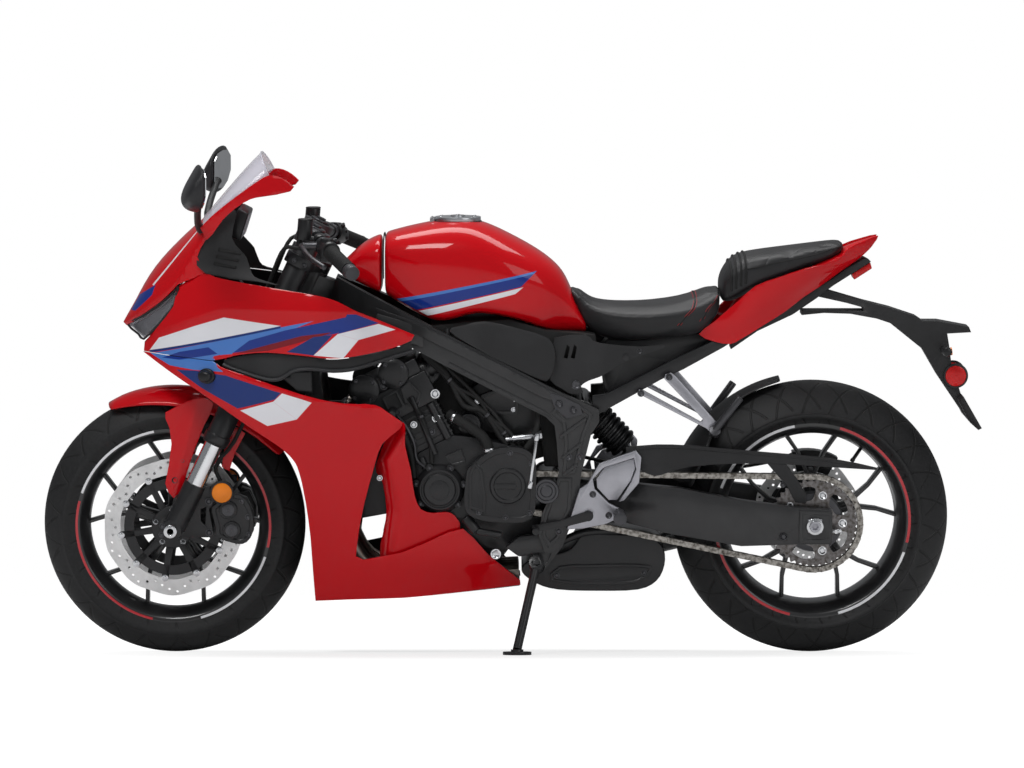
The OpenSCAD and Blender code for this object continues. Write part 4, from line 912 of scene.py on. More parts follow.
    def panel(self, outline: Sequence[Flat], surface: Surface, holes: Sequence[Sequence[Flat]] = (),
            cell: float = 14.0) -> "Shape":
        """Thin skin on y = -surface(x, z), cut to an outline in the side plane.

        Args:
            outline: Corners of the panel.
            surface: Offset of the skin to the left at a station and height.
            holes: Outlines that are cut out.
            cell: Size of the cells before they are cut.

        Returns:
            This shape.
        """
        bm = bmesh.new()
        low = [min(p[i] for p in outline) for i in (0, 1)]
        high = [max(p[i] for p in outline) for i in (0, 1)]
        counts = [max(2, math.ceil((high[i] - low[i]) / cell)) for i in (0, 1)]
        bmesh.ops.create_grid(bm, x_segments=counts[0], y_segments=counts[1], size=0.5)
        grow = Matrix.Diagonal((high[0] - low[0] + 2, high[1] - low[1] + 2, 1, 1))
        bmesh.ops.transform(bm, matrix=Matrix.Translation(((low[0] + high[0]) / 2, (low[1] + high[1]) / 2,
            0)) @ grow, verts=bm.verts)
        for cut in [outline, *holes]:
            for a, b in zip(cut, list(cut[1:]) + [cut[0]]):
                reach = math.dist(a, b) * 0.5 + cell * 1.6
                mid = Vector(((a[0] + b[0]) / 2, (a[1] + b[1]) / 2, 0))
                near = [f for f in bm.faces if (f.calc_center_median() - mid).length < reach]
                geom = list({g for f in near for g in [*f.verts, *f.edges, f]})
                bmesh.ops.bisect_plane(bm, geom=geom, dist=0.01, plane_co=(a[0], a[1], 0),
                    plane_no=(b[1] - a[1], a[0] - b[0], 0))
        lost = []
        for face in bm.faces:
            c = face.calc_center_median()
            if not within(outline, c.x, c.y) or any(within(h, c.x, c.y) for h in holes):
                lost.append(face)
        bmesh.ops.delete(bm, geom=lost, context="FACES")
        bmesh.ops.remove_doubles(bm, verts=bm.verts, dist=0.35)
        bmesh.ops.transform(bm, matrix=Matrix(((1, 0, 0, 0), (0, 0, 0, 0), (0, 1, 0, 0), (0, 0, 0, 1))),
            verts=bm.verts)
        for vert in bm.verts:
            vert.co.y = -surface(vert.co.x, vert.co.z)
        bmesh.ops.recalc_face_normals(bm, faces=bm.faces)
        if sum(f.normal.y for f in bm.faces) > 0:
            bmesh.ops.reverse_faces(bm, faces=bm.faces)
        return self.take(bm)

    def plain(self, name: str) -> bpy.types.Object:
        """Bare object of the shape, placed in the frame, for cutting others."""
        bmesh.ops.recalc_face_normals(self.bm, faces=self.bm.faces)
        bmesh.ops.transform(self.bm, matrix=STANCE.matrix(), verts=self.bm.verts)
        return placed(name, mesh_of(name, self.bm))

    def both_sides(self) -> "Shape":
        """Adds the mirror image on the bike's other side."""
        other = self.bm.copy()
        bmesh.ops.transform(other, matrix=Matrix.Scale(-1, 4, (0, 1, 0)), verts=other.verts)
        bmesh.ops.reverse_faces(other, faces=other.faces)
        return self.take(other)

    def from_node(self, node: str, bevel: float = 1.0) -> "Shape":
        """Merged copy of a CAD node, with its sharp edges eased."""
        bm = bmesh.new()
        bm.from_mesh(frame["nodes"][node].data)
        bmesh.ops.transform(bm, matrix=STANCE.matrix().inverted(), verts=bm.verts)
        bmesh.ops.remove_doubles(bm, verts=bm.verts, dist=0.02)
        bmesh.ops.dissolve_limit(bm, angle_limit=FLAT_ENOUGH, verts=bm.verts, edges=bm.edges)
        if bevel:
            ease(bm, sharp(bm, NODE_EDGE), bevel)
        return self.take(bm)

    def done(self, name: str, finish: str, body: Body = Body.CHASSIS, replaces: Sequence[str] = (),
            wall: float = 0.0, levels: int = 0, rim: float = 0.0, crease: float = 38.0,
            mirrored: bool = False, fix: bool = True) -> bpy.types.Object:
        """Places the piece in the frame, dresses it and lets it ride.

        Args:
            name: Name of the piece.
            finish: Name of its finish.
            body: Body that carries it.
            replaces: CAD nodes that it stands for.
            wall: Thickness that a thin skin gets inward.
            levels: Levels of subdivision.
            rim: Width of the bevel after the wall.
            crease: Angle over which an edge shades sharp.
            mirrored: Whether the other side gets a mirror image.
            fix: Whether the faces are turned outward first.

        Returns:
            The finished object.
        """
        bm = self.bm
        if fix:
            bmesh.ops.recalc_face_normals(bm, faces=bm.faces)
        if mirrored:
            self.both_sides()
        bmesh.ops.transform(bm, matrix=STANCE.matrix(), verts=bm.verts)
        mesh = mesh_of(name, bm)
        mesh.polygons.foreach_set("use_smooth", [True] * len(mesh.polygons))
        mesh.set_sharp_from_angle(angle=math.radians(crease))
        piece = placed(name, mesh)
        mesh.materials.append(FINISHES.get(finish))
        if levels:
            smooth = piece.modifiers.new("smooth", "SUBSURF")
            smooth.levels = smooth.render_levels = levels
        if wall:
            skin = piece.modifiers.new("wall", "SOLIDIFY")
            skin.thickness, skin.offset = wall / 1000, -1
        if rim:
            edge = piece.modifiers.new("rim", "BEVEL")
            edge.width, edge.segments, edge.limit_method = rim / 1000, 2, "ANGLE"
            edge.angle_limit = math.radians(50)
        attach(piece, body.value)
        if replaces:
            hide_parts(*replaces)
        log.info("%s: %d faces", name, len(mesh.polygons))
        return piece

    def pair(self, name: str, finish: str, *rest: object, **looks: object) -> bpy.types.Object:
        """Finishes the shape and its mirror image on the bike's other side as one piece."""
        return self.done(name, finish, *rest, mirrored=True, **looks)


FINISHES = Finishes()

# ---------------------------------------------------------------- sub-assemblies


def stand_in(node: str, finish: str, bevel: float = 1.0, name: str = "",
        crease: float = 38.0) -> bpy.types.Object:
    """Eases the edges of a merged copy of a CAD node and gives it a finish.

    Args:
        node: The CAD node, which the piece stands for.
        finish: Name of its finish.
        bevel: Width of the eased edges.
        name: Name of the piece, if it isn't the node's.
        crease: Angle over which an edge shades sharp.

    Returns:
        The finished object.
    """
    body = Body(body_of(frame["nodes"][node])[0])
    return Shape().from_node(node, bevel).done(name or node, finish, body, [node], crease=crease)


def arches(crest: Sequence[Flat], edge: Sequence[Spot], power: float = 1.0) -> list[list[Spot]]:
    """Rows that arch over the bike from edge to edge.

    Args:
        crest: Station and height of each row's middle.
        edge: Right end of each row.
        power: Power below 1 that fills the shoulders out.

    Returns:
        The rows, each of 17 points.
    """
    rows = []
    for (cx, cz), (ex, ey, ez) in zip(crest, edge):
        row = []
        for k in range(-8, 9):
            a = math.pi / 2 * abs(k) / 8
            part = 1 - math.cos(a)
            y = math.copysign(ey * math.sin(a) ** power, k) if k else 0.0
            row.append((lerp(cx, ex, part), y, lerp(cz, ez, part)))
        rows.append(row)
    return rows


@dataclass
class Bodywork:
    """Fairing, windscreen, lamps and mirrors of the front."""

    plan: tuple[Flat, ...] = ((-860, -2), (-826, 24), (-792, 58), (-745, 100), (-700, 130), (-650, 155),
        (-600, 175), (-530, 194), (-450, 206), (-320, 215), (-180, 213), (-60, 186), (70, 150))
    tuck: float = math.tan(math.radians(12))
    wall: float = 3.6

    def surface(self, x: float, z: float) -> float:
        """Offset of the fairing's skin at a station and height."""
        ridge = 5.0 * math.exp(-((z - line_at(((-790, 730), (-600, 815), (-300, 806)), x)) / 16) ** 2)
        ridge *= line_at(((-760, 0), (-680, 1), (-340, 1), (-260, 0.4)), x)
        return (curve_at(self.plan, x) - self.tuck * soft_step(0, 30, 600 - z) - 0.35
            * soft_step(0, 24, z - 820) + ridge * 0.8)

    def recessed(self, x: float, z: float) -> float:
        """Offset of the skin of parts that lie under the outer cowls."""
        return self.surface(x, z) - 5.5

    def side_cowls(self) -> None:
        """Upper side panels with the main stripes."""
        top = [(-786, 704), (-784, 722), (-758, 751), (-732, 782), (-714, 807),
            (-707, 838)] + smooth_line([(-711, 846), (-676, 868), (-640, 884), (-618, 876), (-560, 866),
            (-460, 851), (-380, 838), (-340, 826), (-300, 806), (-250, 786), (-172, 753)], 3)
        low = smooth_line([(-178, 741), (-220, 724), (-300, 706), (-360, 700), (-420, 706), (-500, 712),
            (-560, 706), (-592, 698), (-606, 694)], 3)
        Shape().panel(top + low + [(-624, 690.5), (-700, 695.5), (-786, 700.5)],
            self.surface).pair("side_cowls", "cowl_livery_and_painted_light", replaces=["side_cowls"], wall=self.wall, rim=1.4)

    def lower_cowls(self) -> None:
        """Lower side panels with the belly, the vented strut behind them and a black sheet that paints the
        shade deep in the vent.
        """
        front = smooth_line([(-788, 699), (-700, 645), (-640, 609), (-540, 541), (-478, 500), (-446, 470),
            (-432, 440), (-420, 380), (-410, 300), (-404, 200), (-400, 137)], 3)
        belly = [(-322, 141), (-200, 145), (-100, 152), (0, 160), (64, 165), (63, 176), (0, 233), (-16, 250),
            (-44, 284), (-66, 304), (-96, 298), (-150, 274), (-205, 252), (-250, 243), (-290, 235),
            (-307, 243)]
        rear = smooth_line([(-307, 243), (-300, 300), (-286, 370), (-262, 458), (-244, 508), (-206, 540),
            (-199, 556)], 2)
        top = smooth_line([(-199, 556), (-232, 580), (-262, 597), (-330, 600), (-400, 613), (-470, 634),
            (-560, 663), (-600, 676), (-622, 689)], 3)
        outline = front + belly + rear[1:] + top[1:]

        def skin(x: float, z: float) -> float:
            """Skin with a rolled rim along the window and a crease over the belly."""
            edge = line_at(((-622, 689), (-560, 663), (-400, 613), (-330, 600), (-262, 597), (-199, 556)), x)
            roll = 4.5 * math.exp(-((z - edge + 7) / 6) ** 2) if -640 < x < -190 else 0.0
            return self.surface(x, z) + roll + 4 * soft_step(0, 30, x + 330) / 130 * math.exp(-(
                (z - 235) / 50) ** 2)

        Shape().panel(outline, skin).pair("lower_cowls", "cowl_livery_and_painted_light", replaces=["lower_cowls"],
            wall=self.wall, rim=1.4)
        strut = smooth_line([(-208, 548), (-236, 514), (-256, 466), (-262, 436), (-246, 412), (-238, 346),
            (-245, 300), (-254, 236), (-205, 246), (-128, 276), (-72, 300), (-84, 334), (-104, 344),
            (-132, 342), (-160, 352), (-174, 386), (-182, 446), (-194, 500), (-196, 548)], 2, True)

        def deep(x: float, z: float) -> float:
            """Skin of the strut, which rolls inward toward the vent."""
            edge = line_at(((240, -252), (300, -245), (346, -238), (412, -246), (466, -256), (548, -210)), z)
            into = max(0.0, 34 - (x - edge)) / 34
            return self.surface(x, z) - 7 - 26 * into ** 1.6

        Shape().panel(strut, deep, cell=8).pair("vent_struts", "red", wall=self.wall, rim=1.2)
        Shape().bolts([(-252, 424)], -self.surface(-252, 424) + 22, 5, 4).pair("strut_screws", "bright_bolt")
        # Painted shade: a black sheet deep behind the vent darkens the gap between the lower cowl and the
        # strut.
        dark = [(-282, 452), (-226, 470), (-222, 340), (-296, 326)]
        Shape().panel(dark, lambda x, z: self.surface(x, z) - 46,
            cell=12).pair("vent_shade_sheets", "black_plastic", wall=2)

    def ducts(self) -> None:
        """Black trim in the window above the engine."""
        top = smooth_line([(-598, 692), (-560, 702), (-500, 709), (-420, 703), (-360, 697), (-300, 703),
            (-220, 721), (-180, 738)], 3)
        low = smooth_line([(-176, 716), (-230, 700), (-300, 678), (-352, 672), (-402, 676), (-440, 672),
            (-470, 654), (-502, 652), (-560, 668), (-600, 682)], 3)
        Shape().panel(top + low, lambda x, z: self.recessed(x, z) - 3, cell=10).pair("side_ducts",
            "black_plastic", replaces=["side_ducts"], wall=3, rim=1)
        lip = [(x, -self.surface(x, z) + 5, z) for x, z in low]
        Shape().tube(lip, 4.5, 8).pair("duct_lips", "grey_plastic")
        Shape().panel([(-470, 655), (-440, 672), (-402, 676), (-400, 616), (-430, 622)], lambda x,
            z: self.recessed(x, z) - 9, cell=12).pair("duct_webs", "smooth_plastic", wall=2)

    def nose(self) -> None:
        """Nose cowl with its wing rims, lens and inner black cowl."""
        crest = [(-838, 760), (-826, 782), (-808, 812), (-790, 848), (-764, 888), (-736, 920), (-706, 950),
            (-676, 978), (-642, 1006)]
        edge = [(-829, 10, 752), (-812, 36, 764), (-792, 64, 780), (-764, 86, 800), (-736, 103, 822),
            (-712, 116, 846), (-686, 126, 884), (-662, 131, 930), (-640, 133, 966)]
        Shape().sheet(arches(crest, edge, 0.92)).done("nose_cowl", "nose_livery", replaces=["nose_cowl"],
            wall=self.wall, levels=1, rim=1, fix=False)
        cheek = [(-716, 842), (-704, 856), (-676, 868), (-640, 884), (-622, 878), (-642, 896), (-658, 920),
            (-640, 956), (-630, 972), (-640, 972), (-666, 930), (-690, 886)]
        across = ((-720, 113), (-704, 120), (-686, 126), (-662, 131), (-620, 134))
        Shape().panel(smooth_line(cheek, 2, True), lambda x, z: curve_at(across, x) + 1.2,
            cell=8).pair("nose_cheeks", "red", wall=self.wall, rim=1.4)
        half = ((-660, 131), (-600, 134), (-540, 126), (-490, 112), (-443, 96))
        wing = smooth_line([(-650, 985), (-630, 1006), (-600, 1032), (-560, 1062), (-520, 1090), (-500, 1100),
            (-480, 1098), (-460, 1088), (-444, 1074)], 2)
        under = smooth_line([(-452, 1064), (-480, 1058), (-510, 1055), (-540, 1048), (-572, 1029),
            (-600, 1003), (-622, 972), (-636, 958)], 2)
        Shape().panel(wing + under, lambda x, z: curve_at(half, x) + 4 - 0.004 * (z - 1020) ** 2 * 0.1,
            cell=9).pair("wing_rims", "red", wall=5, rim=1.5)
        tip = [(-452, 1068), (-480, 1064), (-510, 1061), (-540, 1054), (-556, 1046), (-520, 1052),
            (-480, 1057)]
        Shape().panel(tip, lambda x, z: curve_at(half, x) + 1, cell=8).pair("wing_tips", "red", wall=4, rim=1)

    def screen(self) -> None:
        """Clear screen between the wing rims."""
        crest = [(-650, 1004), (-640, 1014), (-615, 1044), (-585, 1079), (-555, 1113), (-528, 1140),
            (-522, 1146)]
        edge = [(-646, 121, 978), (-632, 122, 992), (-607, 124, 1024), (-570, 124, 1052), (-538, 119, 1074),
            (-506, 110, 1094), (-499, 107, 1100)]
        rows = arches(crest, edge)
        Shape().sheet(rows).done("windscreen", "screen", replaces=["windscreen"], wall=3, levels=1, fix=False)
        Shape().tube(smooth_line(rows[-1], 2), 1.6, 8).done("screen_rim", "screen")

    def lamps(self) -> None:
        """Headlamp lenses, the reflectors in them and the front indicators."""
        half = ((-832, 2), (-796, 57), (-754, 90), (-712, 113), (-698, 121))
        lens = [(-829, 757), (-796, 775), (-754, 803), (-714, 838), (-702, 852), (-705, 838), (-711, 812),
            (-730, 787), (-757, 756), (-786, 728), (-799, 738)]
        Shape().panel(lens, lambda x, z: curve_at(half, x), cell=7).pair("headlamp_lenses", "lens",
            replaces=["headlights"], wall=2.4, rim=0.8)
        back = [(-824, 756), (-796, 773), (-754, 801), (-712, 840), (-713, 812), (-732, 788), (-758, 757),
            (-787, 731)]
        Shape().panel(back, lambda x, z: curve_at(half, x) - 14,
            cell=6).pair("headlamp_bowls", "pale_alloy", wall=3)
        strip = [(x + 2, -curve_at(half, x) + 5, z - 4) for x, z in smooth_line(lens[:4], 4)]
        Shape().tube(strip, 2.6, 8).pair("running_lights", "pale_alloy")
        frame_line = [(x, -curve_at(half, x) - 0.5, z) for x, z in smooth_line(lens, 2, True)]
        Shape().tube(frame_line + frame_line[:1], 2.6, 8).pair("headlamp_seals", "smooth_plastic")
        x, z = -637, 655
        root = Vector((x, -self.surface(x, z), z))
        away = Vector((-0.42, -1, 0.05)).normalized()
        oval = Shape().bar(root + away * -2, root + away * 7, 22, 2, 28, 20).bar(root + away * 7,
            root + away * 19, 18, 5, 28, 13)
        bmesh.ops.scale(oval.bm, vec=(1, 1, 0.82), space=Matrix.Translation(-root), verts=oval.bm.verts)
        oval.pair("front_indicators", "smooth_plastic", replaces=["front_indicators"])

    def inner(self) -> None:
        """Black cowl behind the nose, its slots and the instruments."""
        half = ((850, 166), (884, 142), (920, 131), (968, 128), (1030, 118))
        outline = smooth_line([(-640, 884), (-660, 920), (-636, 962), (-606, 998), (-578, 1024), (-572, 1010),
            (-581, 962), (-562, 934), (-548, 918), (-536, 884), (-520, 872), (-470, 858), (-520, 866)], 2,
            True)
        Shape().panel(outline, lambda x, z: curve_at(half, z), cell=10).pair("inner_cowl", "black_plastic",
            replaces=["inner_cowl"], wall=3, rim=1)
        slots = Shape()
        for rise in (0, 15, 30):
            shift = rise * 0.35
            slots.panel([(-622 + shift, 902 + rise), (-572 + shift, 893 + rise), (-570 + shift, 899 + rise),
                (-620 + shift, 909 + rise)], lambda x, z: curve_at(half, z) + 1.4, cell=9)
        slots.pair("cowl_slots", "seal", wall=2)
        stand_in("dashboard", "smooth_plastic", 4)
        Shape().prism([(-576, 960), (-562, 958), (-547, 1006), (-560, 1010)], -70, 70,
            1).done("dash_glass", "screen")
        stand_in("fairing_stay", "satin_black", 2)

    def mirrors(self) -> None:
        """Mirror heads on stalks."""
        centre = Vector((-640, -316, 1086))
        turn = Matrix.Rotation(math.radians(12), 3, "Z")
        rings = []
        for t, wide, high in ((-76, 8, 10), (-72, 13, 28), (-56, 18, 46), (-20, 20, 53), (20, 20, 54),
                (56, 17, 46), (72, 12, 32), (76, 7, 18)):
            ring = []
            for k in range(16):
                a = 2 * math.pi * k / 16
                depth = -math.cos(a) * wide * (1.6 - 1.2 * math.sin(a) if math.cos(a) > 0 else 0.35)
                ring.append(centre + turn @ Vector((depth, t, math.sin(a) * high + t * -0.12)))
            rings.append(ring)
        Shape().loft(rings).pair("mirror_heads", "grey_plastic", replaces=["mirrors"], levels=1)
        face = [(-66, 20), (-40, 38), (0, 44), (40, 42), (64, 30), (66, -26), (40, -38), (0, -44), (-40, -34),
            (-66, -14)]
        bm = bmesh.new()
        glass = bm.faces.new([bm.verts.new(centre + turn @ Vector((6.6, t, z - t * 0.12))) for t, z in face])
        push(bm, glass, turn @ Vector((2.2, 0, 0)), False)
        Shape().take(bm).pair("mirror_glasses", "mirror_glass")
        stalk = smooth_line([(-650, -118, 980), (-655, -140, 996), (-652, -190, 1022), (-646, -240, 1046),
            (-642, -268, 1062)], 3)
        Shape().tube(stalk, [11, 10, 9, 8.5, 8, 8, 8, 8, 8, 8, 8, 9, 11],
            12).pair("mirror_stalks", "black_plastic")

    def build(self) -> None:
        """Builds the front bodywork."""
        self.side_cowls()
        self.lower_cowls()
        self.ducts()
        self.nose()
        self.screen()
        self.lamps()
        self.inner()
        self.mirrors()
        stand_in("belly_pan", "black_plastic", 0)


def half_ring(x: float, top: float, shoulder: float, low: float, half: float, half_low: float,
        square: float = 0.8, count: int = 7) -> list[Spot]:
    """Closed section of a tank or seat at a station.

    Args:
        x: The station.
        top: Height of the middle.
        shoulder: Height of the widest point.
        low: Height of the underside.
        half: Half width at the shoulder.
        half_low: Half width of the underside.
        square: Power below 1 that fills the shoulders out.
        count: Points from the middle to a shoulder.

    Returns:
        The section's points.
    """
    right = []
    for k in range(count + 1):
        a = math.pi / 2 * k / count
        right.append((x, half * math.sin(a) ** square, lerp(shoulder, top, math.cos(a) ** square)))
    right.append((x, lerp(half, half_low, 0.35), lerp(shoulder, low, 0.5)))
    right.append((x, half_low, low + 2))
    right.append((x, half_low * 0.5, low))
    left = [(px, -y, pz) for px, y, pz in reversed(right[1:])]
    return right + [(x, 0.0, low)] + left


@dataclass
class TankAndSeats:
    """Tank, its cover and side pads, the seats and the tail."""

    tank: tuple[tuple[float, ...], ...] = ((-243, 962, 905, 829, 92, 84), (-236, 966, 905, 826, 100, 90),
        (-200, 976, 902, 804, 117, 108), (-160, 985, 897, 782, 128, 118), (-120, 993, 893, 766, 135, 124),
        (-80, 997, 888, 776, 139, 128), (-40, 995, 884, 790, 141, 130), (0, 981, 876, 786, 141, 130),
        (40, 961, 866, 778, 137, 125), (80, 940, 853, 764, 127, 112), (120, 915, 838, 748, 113, 96),
        (150, 889, 820, 742, 94, 74), (166, 866, 806, 742, 84, 66), (178, 838, 794, 742, 80, 62),
        (192, 806, 780, 742, 76, 60), (206, 780, 764, 741, 70, 56), (214, 762, 752, 742, 62, 50))
    cover: tuple[tuple[float, ...], ...] = ((-346, 888, 880, 874, 42, 38), (-340, 896, 883, 871, 50, 44),
        (-326, 909, 888, 865, 59, 52), (-305, 930, 896, 855, 72, 66), (-280, 949, 902, 843, 84, 76),
        (-256, 959, 905, 832, 90, 82), (-247, 960, 905, 829, 90, 83))

    rider: tuple[tuple[float, ...], ...] = ((176, 838, 836, 830, 40, 36), (180, 842, 836, 822, 56, 50),
        (190, 841, 829, 802, 66, 58), (206, 824, 811, 768, 74, 64), (222, 811, 796, 746, 84, 70),
        (250, 804, 784, 731, 98, 78), (300, 801, 777, 726, 115, 90), (360, 802, 778, 730, 128, 100),
        (430, 812, 786, 737, 130, 102), (470, 828, 796, 741, 120, 94), (492, 840, 806, 764, 106, 86),
        (506, 845, 816, 786, 94, 80), (512, 845, 826, 800, 84, 72))
    pillion: tuple[tuple[float, ...], ...] = ((514, 852, 838, 806, 78, 74), (520, 874, 848, 808, 90, 86),
        (536, 900, 862, 814, 99, 95), (556, 914, 874, 824, 104, 99), (600, 921, 890, 848, 108, 102),
        (650, 927, 902, 866, 104, 96), (720, 936, 916, 888, 90, 80), (770, 943, 930, 908, 66, 56),
        (790, 945, 936, 920, 48, 42), (796, 945, 938, 928, 34, 30))

    def on_pad(self, pad: bpy.types.Object, spots: Sequence[Spot], lift: float) -> list[Spot]:
        """Moves points to the nearest place on a finished pad.

        Args:
            pad: The pad.
            spots: Points in the upright bike's millimetres.
            lift: Height above the surface.

        Returns:
            The moved points.
        """
        tree = BVHTree.FromObject(pad, bpy.context.evaluated_depsgraph_get())
        to_world = STANCE.matrix()
        back = to_world.inverted()
        moved = []
        for spot in spots:
            place, normal, _, _ = tree.find_nearest(to_world @ Vector(spot))
            moved.append(tuple(back @ (place + normal * (lift / 1000))))
        return moved

    def tank_shell(self) -> None:
        """Tank with the raised ring and hinge of its cap, and the cover ahead of it."""
        Shape().loft([half_ring(*row) for row in self.tank]).done("tank_shell", "tank_livery_and_highlight",
            replaces=["fuel_tank"], levels=2, crease=70)
        Shape().loft([half_ring(*row) for row in self.cover]).done("tank_cover", "red",
            replaces=["tank_cover"], levels=2, crease=70)
        ring = Shape().lathe((0, 0), [(47, -6), (54, -6), (54, 0.5), (52.5, 2), (47, 2)], 64)
        bmesh.ops.transform(ring.bm,
            matrix=Matrix.Translation((-78, 0, 989.5)) @ Matrix.Rotation(math.radians(90), 4, "X"),
            verts=ring.bm.verts)
        ring.done("cap_ring", "satin_black")
        lugs = Shape()
        for y in (-13, 13):
            lugs.prism([(-141, 978), (-131, 978), (-131, 996), (-136, 1000), (-141, 996)], y - 4, y + 4, 1)
        lugs.bar((-136, -10, 995), (-136, 10, 995), 2.5, 0, 12)
        lugs.done("cap_lugs", "bare_metal")
        stand_in("fuel_cap", "bare_metal", 1.2)
        studs = Shape()
        for x, y in ring_of((-78, 0), 43, 6, 30):
            studs.bolt((x, y, 1000), (0, 0, 1), 4, 3)
        studs.bar((-78, 0, 999), (-78, 0, 1003), 17, 1.5)
        studs.done("cap_bolts", "bright_bolt", Body.CAP)
        seam = [(-244, y, z) for _, y, z in half_ring(-244, 962, 905, 829, 92.5, 84)[:9]]
        Shape().tube(seam, 1.6, 6).pair("cover_seam", "seal")

    def pads(self) -> None:
        """Black knee pads and side covers."""
        knee = smooth_line([(-95, 754), (-60, 767), (-30, 774), (0, 773), (60, 759), (110, 745), (132, 730),
            (141, 702), (136, 664), (124, 642), (108, 644), (40, 676), (-30, 712)], 3, True)
        face = lambda x, z: 133.5 + 9 * math.sin(math.pi * min(1, max(0, (z - 640) / 130))) ** 0.6
        Shape().panel(knee, face, cell=10).pair("knee_pads", "black_plastic", replaces=["side_covers"],
            wall=10, rim=4)
        cover = [(140, 737), (210, 744), (226, 730), (262, 722), (330, 716), (382, 719), (384, 712),
            (340, 697), (300, 684), (262, 660), (240, 648), (216, 640), (199, 628), (204, 614), (180, 609),
            (156, 622), (130, 642), (136, 676), (142, 704)]
        slots = [[(x, 692), (x + 9, 690), (x + 14, 716), (x + 8, 722)] for x in (160, 176)]
        side = lambda x, z: 124 - max(0, x - 210) * 0.12 + 3 * math.sin((z - 600) * 0.02)
        Shape().panel(smooth_line(cover, 2, True), side, slots, 10).pair("side_covers", "black_plastic",
            wall=5, rim=2)
        Shape().bolts([(188, 632)], -127, 9, 5).bolts([(330, 706)], -112, 6,
            4).pair("cover_bolts", "dark_metal")
        under = [(-140, 762), (-60, 770), (40, 776), (120, 752), (232, 742), (238, 700), (150, 640),
            (110, 640), (0, 690)]
        Shape().prism(under, -104, 104, 3).done("cover_backing", "seal")

    def seat(self, name: str, node: str, stations: Line, finish: str, rise: float) -> bpy.types.Object:
        """Padded seat: a lofted foam form that is blown up a little by cloth.

        Args:
            name: Name of the piece.
            node: CAD node that it stands for.
            stations: Sections as half_ring takes them.
            finish: Name of its finish.
            rise: Most that a point may swell, in millimetres.

        Returns:
            The finished pad.
        """
        piece = Shape().loft([half_ring(*s) for s in stations]).done(name, finish, replaces=[node], levels=1,
            crease=80)
        swell(piece, rise / 1000)
        round_off = piece.modifiers.new("soften", "SUBSURF")
        round_off.levels = round_off.render_levels = 1
        bpy.context.scene.frame_set(1)
        return piece

    def seats(self) -> None:
        """Rider's and pillion's seats with their seams."""
        pads = {"rider": self.seat("rider_seat_pad", "rider_seat", self.rider, "seat_vinyl", 4),
            "pilli": self.seat("pillion_seat_pad", "pillion_seat", self.pillion, "pillion_vinyl", 3)}
        seam = [(x, -line_at(((520, 89), (600, 107.5), (650, 104), (720, 90), (792, 44)), x),
            line_at(((520, 856), (560, 886), (600, 896), (650, 906), (720, 919), (792, 938)),
            x)) for x in range(530, 792, 12)]
        Shape().tube(seam, 1.5, 6).pair("pillion_piping", "grip_rubber")
        for name, rows, places, finish, thick, lean in (("rider_stitching", self.rider, (437, 443, 477, 483),
                "stitching", 0.7, 0.8), ("rider_seams", self.rider, (440, 480), "grip_rubber", 1.5, 0.8),
                ("pillion_pleats", self.pillion, (536, 547, 558, 569), "grip_rubber", 2.6, 0.0)):
            lines = Shape()
            for x in places:
                row = [line_at([(r[0], r[i]) for r in rows], x) for i in range(1, 6)]
                arch = [(px + lean * (pz - 790), py, pz) for px, py, pz in half_ring(x, *row)[:9]]
                arch = [(px, -py, pz) for px, py, pz in reversed(arch[1:])] + arch
                lines.tube(self.on_pad(pads[name[:5]], arch, thick * 0.3), thick, 8)
            lines.done(name, finish)

    def tail(self) -> None:
        """Tail cowl, its fin and the black undertail."""
        rows = ((520, 824, 800, 728, 92, 90), (545, 834, 812, 736, 100, 92), (570, 842, 836, 746, 106, 92),
            (600, 866, 858, 762, 108, 88), (650, 882, 872, 790, 104, 76), (720, 901, 890, 836, 90, 56),
            (770, 918, 908, 866, 70, 44), (800, 934, 916, 886, 54, 34), (840, 948, 930, 908, 36, 22),
            (868, 956, 950, 940, 18, 12))
        edge = lambda i: [(r[0], r[i]) for r in rows]
        side = [(465, 741), (500, 771), (550, 816), (590, 852), (640, 870), (700, 888), (780, 908),
            (800, 932), (840, 948), (872, 957), (862, 940), (850, 926), (820, 901), (790, 881), (740, 846),
            (700, 821), (660, 791), (610, 761), (560, 731), (535, 719), (500, 724)]

        def flank(x: float, z: float) -> float:
            """Half width of the tail at a station and height."""
            half, low = curve_at(edge(4), x), curve_at(edge(5), x)
            shoulder, bottom = curve_at(edge(2), x), curve_at(edge(3), x)
            t = (shoulder - z) / max(4.0, shoulder - bottom)
            bulge = 6 * math.sin(math.pi * min(1, max(0, t)))
            return lerp(half, low, min(1.0, max(-0.3, t))) + bulge - (max(0, 540 - x) * 0.1)

        Shape().panel(smooth_line(side, 2, True), flank, cell=10).pair("tail_sides", "red",
            replaces=["tail_cowl"], wall=4, rim=1.5)
        crest = [[(r[0], y,
            lerp(r[1], r[2],
            (y / r[4]) ** 2)) for y in [r[4] * 0.98 * k / 6 for k in range(-6, 7)]] for r in rows[5:]]
        Shape().sheet(crest).done("tail_top", "red", wall=4, levels=1, fix=False)
        stand_in("undertail", "black_plastic", 2)
        stand_in("subframe", "satin_black", 2)

    def build(self) -> None:
        """Builds the tank, the seats and the tail."""
        self.tank_shell()
        self.pads()
        self.seats()
        self.tail()


